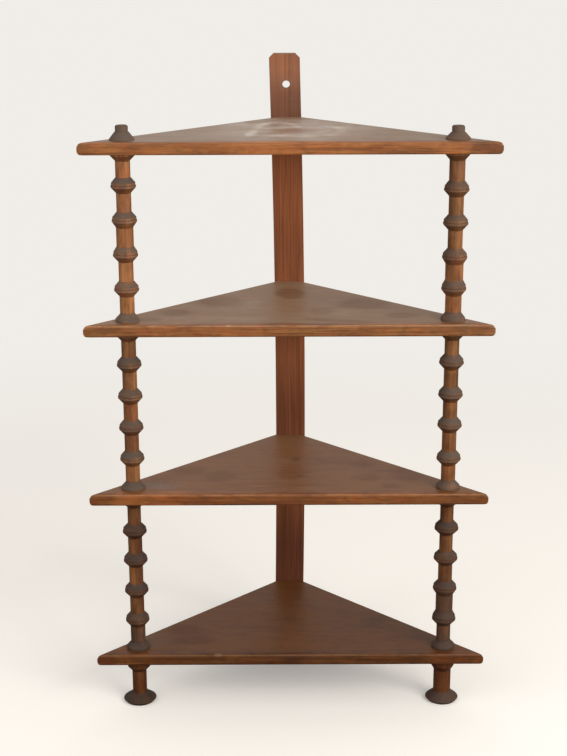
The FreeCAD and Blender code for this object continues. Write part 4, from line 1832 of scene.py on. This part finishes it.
def batten_finish() -> WoodFinish:
    """Finish of the batten: straight fine grain, scuffed round the hanging hole, with bands of painted
    light and shade up its height.

    Returns:
        The finish.
    """
    even = {"ragged": 0.0, "broken": 0.0}
    marks = (
        Mark(MarkKind.AGED, (0, 0, 746 * MM), (ANY, ANY, 45 * MM), 0.6, soft=0.8, **even),
        Mark(MarkKind.AGED, (0, 0, 768 * MM), (7 * MM, ANY, 8 * MM), 0.75, ragged=0.7, soft=0.6),
        Mark(MarkKind.AGED, (0, 0, 793 * MM), (4 * MM, ANY, 6 * MM), 0.4, ragged=0.7, soft=0.6),
        Mark(MarkKind.FADED, (2 * MM, 0, 795 * MM), (12 * MM, ANY, 20 * MM), 0.25, ragged=0.6, soft=0.6),
        # Full-width bands: the one at 650 mm is painted light under the top shelf, where its shadow falls;
        # those at 545, 425, 310 and 70 mm are painted shade, darker low in each bay and towards the floor;
        # the one at 815 mm darkens the top of the head.
        Mark(MarkKind.FADED, (0, 0, 650 * MM), (ANY, ANY, 65 * MM), 0.2, soft=0.6, **even),
        Mark(MarkKind.AGED, (0, 0, 545 * MM), (ANY, ANY, 60 * MM), 0.16, soft=0.8, **even),
        Mark(MarkKind.AGED, (0, 0, 815 * MM), (ANY, ANY, 40 * MM), 0.2, soft=0.8, **even),
        Mark(MarkKind.AGED, (0, 0, 425 * MM), (ANY, ANY, 50 * MM), 0.14, soft=0.8, **even),
        Mark(MarkKind.AGED, (0, 0, 310 * MM), (ANY, ANY, 75 * MM), 0.62, soft=0.8, **even),
        Mark(MarkKind.AGED, (0, 0, 70 * MM), (ANY, ANY, 125 * MM), 0.72, soft=0.6, **even),
    )
    return WoodFinish(
        "stained_batten",
        BATTEN_STAIN.deepened(1.06),
        Fibre.ALONG_Z,
        fineness=1.3,
        stretch=5,
        streak=0.42,
        figure=0.3,
        dust=0.5,
        sheen=0.1,
        marks=marks,
    )


def shaft_tone(node: str, section: int, tone: float) -> Mark:
    """Shaft section that took the stain unevenly.

    Args:
        node: The frame's node of the spindle.
        section: The section, counted from the lower end.
        tone: How much paler (+) or darker (-) it is.

    Returns:
        The mark.
    """
    low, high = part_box(node)
    step = (high.z - low.z) / SHAFT_SECTIONS
    kind = MarkKind.FADED if tone > 0 else MarkKind.AGED
    centre = (0.0, 0.0, low.z + (section - 0.5) * step)
    reach = (ANY, ANY, SHAFT_SHARE * step)
    return Mark(kind, centre, reach, abs(tone), ragged=0.15, soft=0.3, broken=0.3)


def post_finish(side: Side) -> PostFinish:
    """Finishes of a front post: dusty beads and stubs, with painted shade that darkens it towards the
    floor.

    Args:
        side: The post.

    Returns:
        The finishes.
    """

    def turned(
        part: str, share: float, dust: Colour, cool: float = 1.0, tones: Sequence[tuple[int, float]] = ()
    ) -> WoodFinish:
        """Finish of one part of the post.

        Args:
            part: The part's name.
            share: How much of the stain's colour it keeps, lower towards the floor and on the right post as
                painted shade.
            dust: Colour of its dust, darker towards the floor as painted shade.
            cool: How much of the colour stays in the green, and twice over in the blue.
            tones: Shaft sections that are paler or darker, and by how much.

        Returns:
            The finish.
        """
        marks = tuple(shaft_tone(f"spindle_{part}_{side.value}", section, tone) for section, tone in tones)
        return WoodFinish(
            f"stained_turning_{part}_{side.value}",
            replace(TURNED_STAIN.deepened(share, cool), dust=dust),
            Fibre.ALONG_Z,
            fineness=1.7,
            stretch=1.6,
            streak=0.35,
            figure=0.2,
            blotch=0.6,
            blotch_fineness=36,
            wear=0.6,
            # Painted shade on the faces that look down.
            under=0.45,
            dust=1.2,
            least=0.65,
            slope=0.1,
            clouds=120,
            marks=marks,
        )

    # Stain shares and dust colours fall from the upper spindle to the foot: painted shade, darker towards
    # the floor.
    if side is Side.LEFT:
        return PostFinish(
            foot=turned("foot", 0.38, srgb(56, 45, 38), 0.77),
            lower=turned("lower", 0.49, srgb(68, 54, 46), 0.95, ((3, 0.55),)),
            middle=turned("middle", 0.86, srgb(90, 76, 65), 1.0, ((3, 0.65), (5, -0.55))),
            upper=turned("upper", 1.06, srgb(100, 84, 73), 0.97),
            finial=turned("finial", 0.6, srgb(100, 84, 73)),
        )
    # The right post's upper and middle spindles keep less of the stain than the left's: painted shade
    # against the lamp on the right.
    return PostFinish(
        foot=turned("foot", 0.37, srgb(76, 58, 48), 0.76),
        lower=turned("lower", 0.48, srgb(72, 56, 47), 1.0, ((4, 0.55),)),
        middle=turned("middle", 0.63, srgb(92, 77, 66), 1.0, ((1, 0.85), (2, 0.4))),
        upper=turned("upper", 0.78, srgb(94, 76, 65), 1.0, ((1, 0.9), (2, 0.6))),
        finial=turned("finial", 0.6, srgb(100, 82, 70)),
    )


def main() -> None:
    """Build and dress the sub-assemblies in order, then set the studio."""
    logging.basicConfig(level=logging.INFO, format="%(name)s: %(message)s")
    slides = dict(zip(Level, (-0.8 * MM, -2.1 * MM, -1.3 * MM, 0.0)))
    dusty_rises = {Side.LEFT: 36 * MM, Side.RIGHT: 80 * MM}
    for level in Level:
        shelf = Shelf(level, shelf_finish(level), slide=slides[level])
        shelf.dress(shelf.build())
    batten = BackBatten(batten_finish())
    batten.dress(batten.build())
    for side in Side:
        post = FrontPost(side, post_finish(side), dusty_rise=dusty_rises[side])
        post.dress(post.build())
    Joinery(WoodFinish("bare_beech", BEECH, Fibre.ALONG_Z, wear=0, dust=0)).dress()
    Studio().build()


if __name__ == "__main__":
    main()
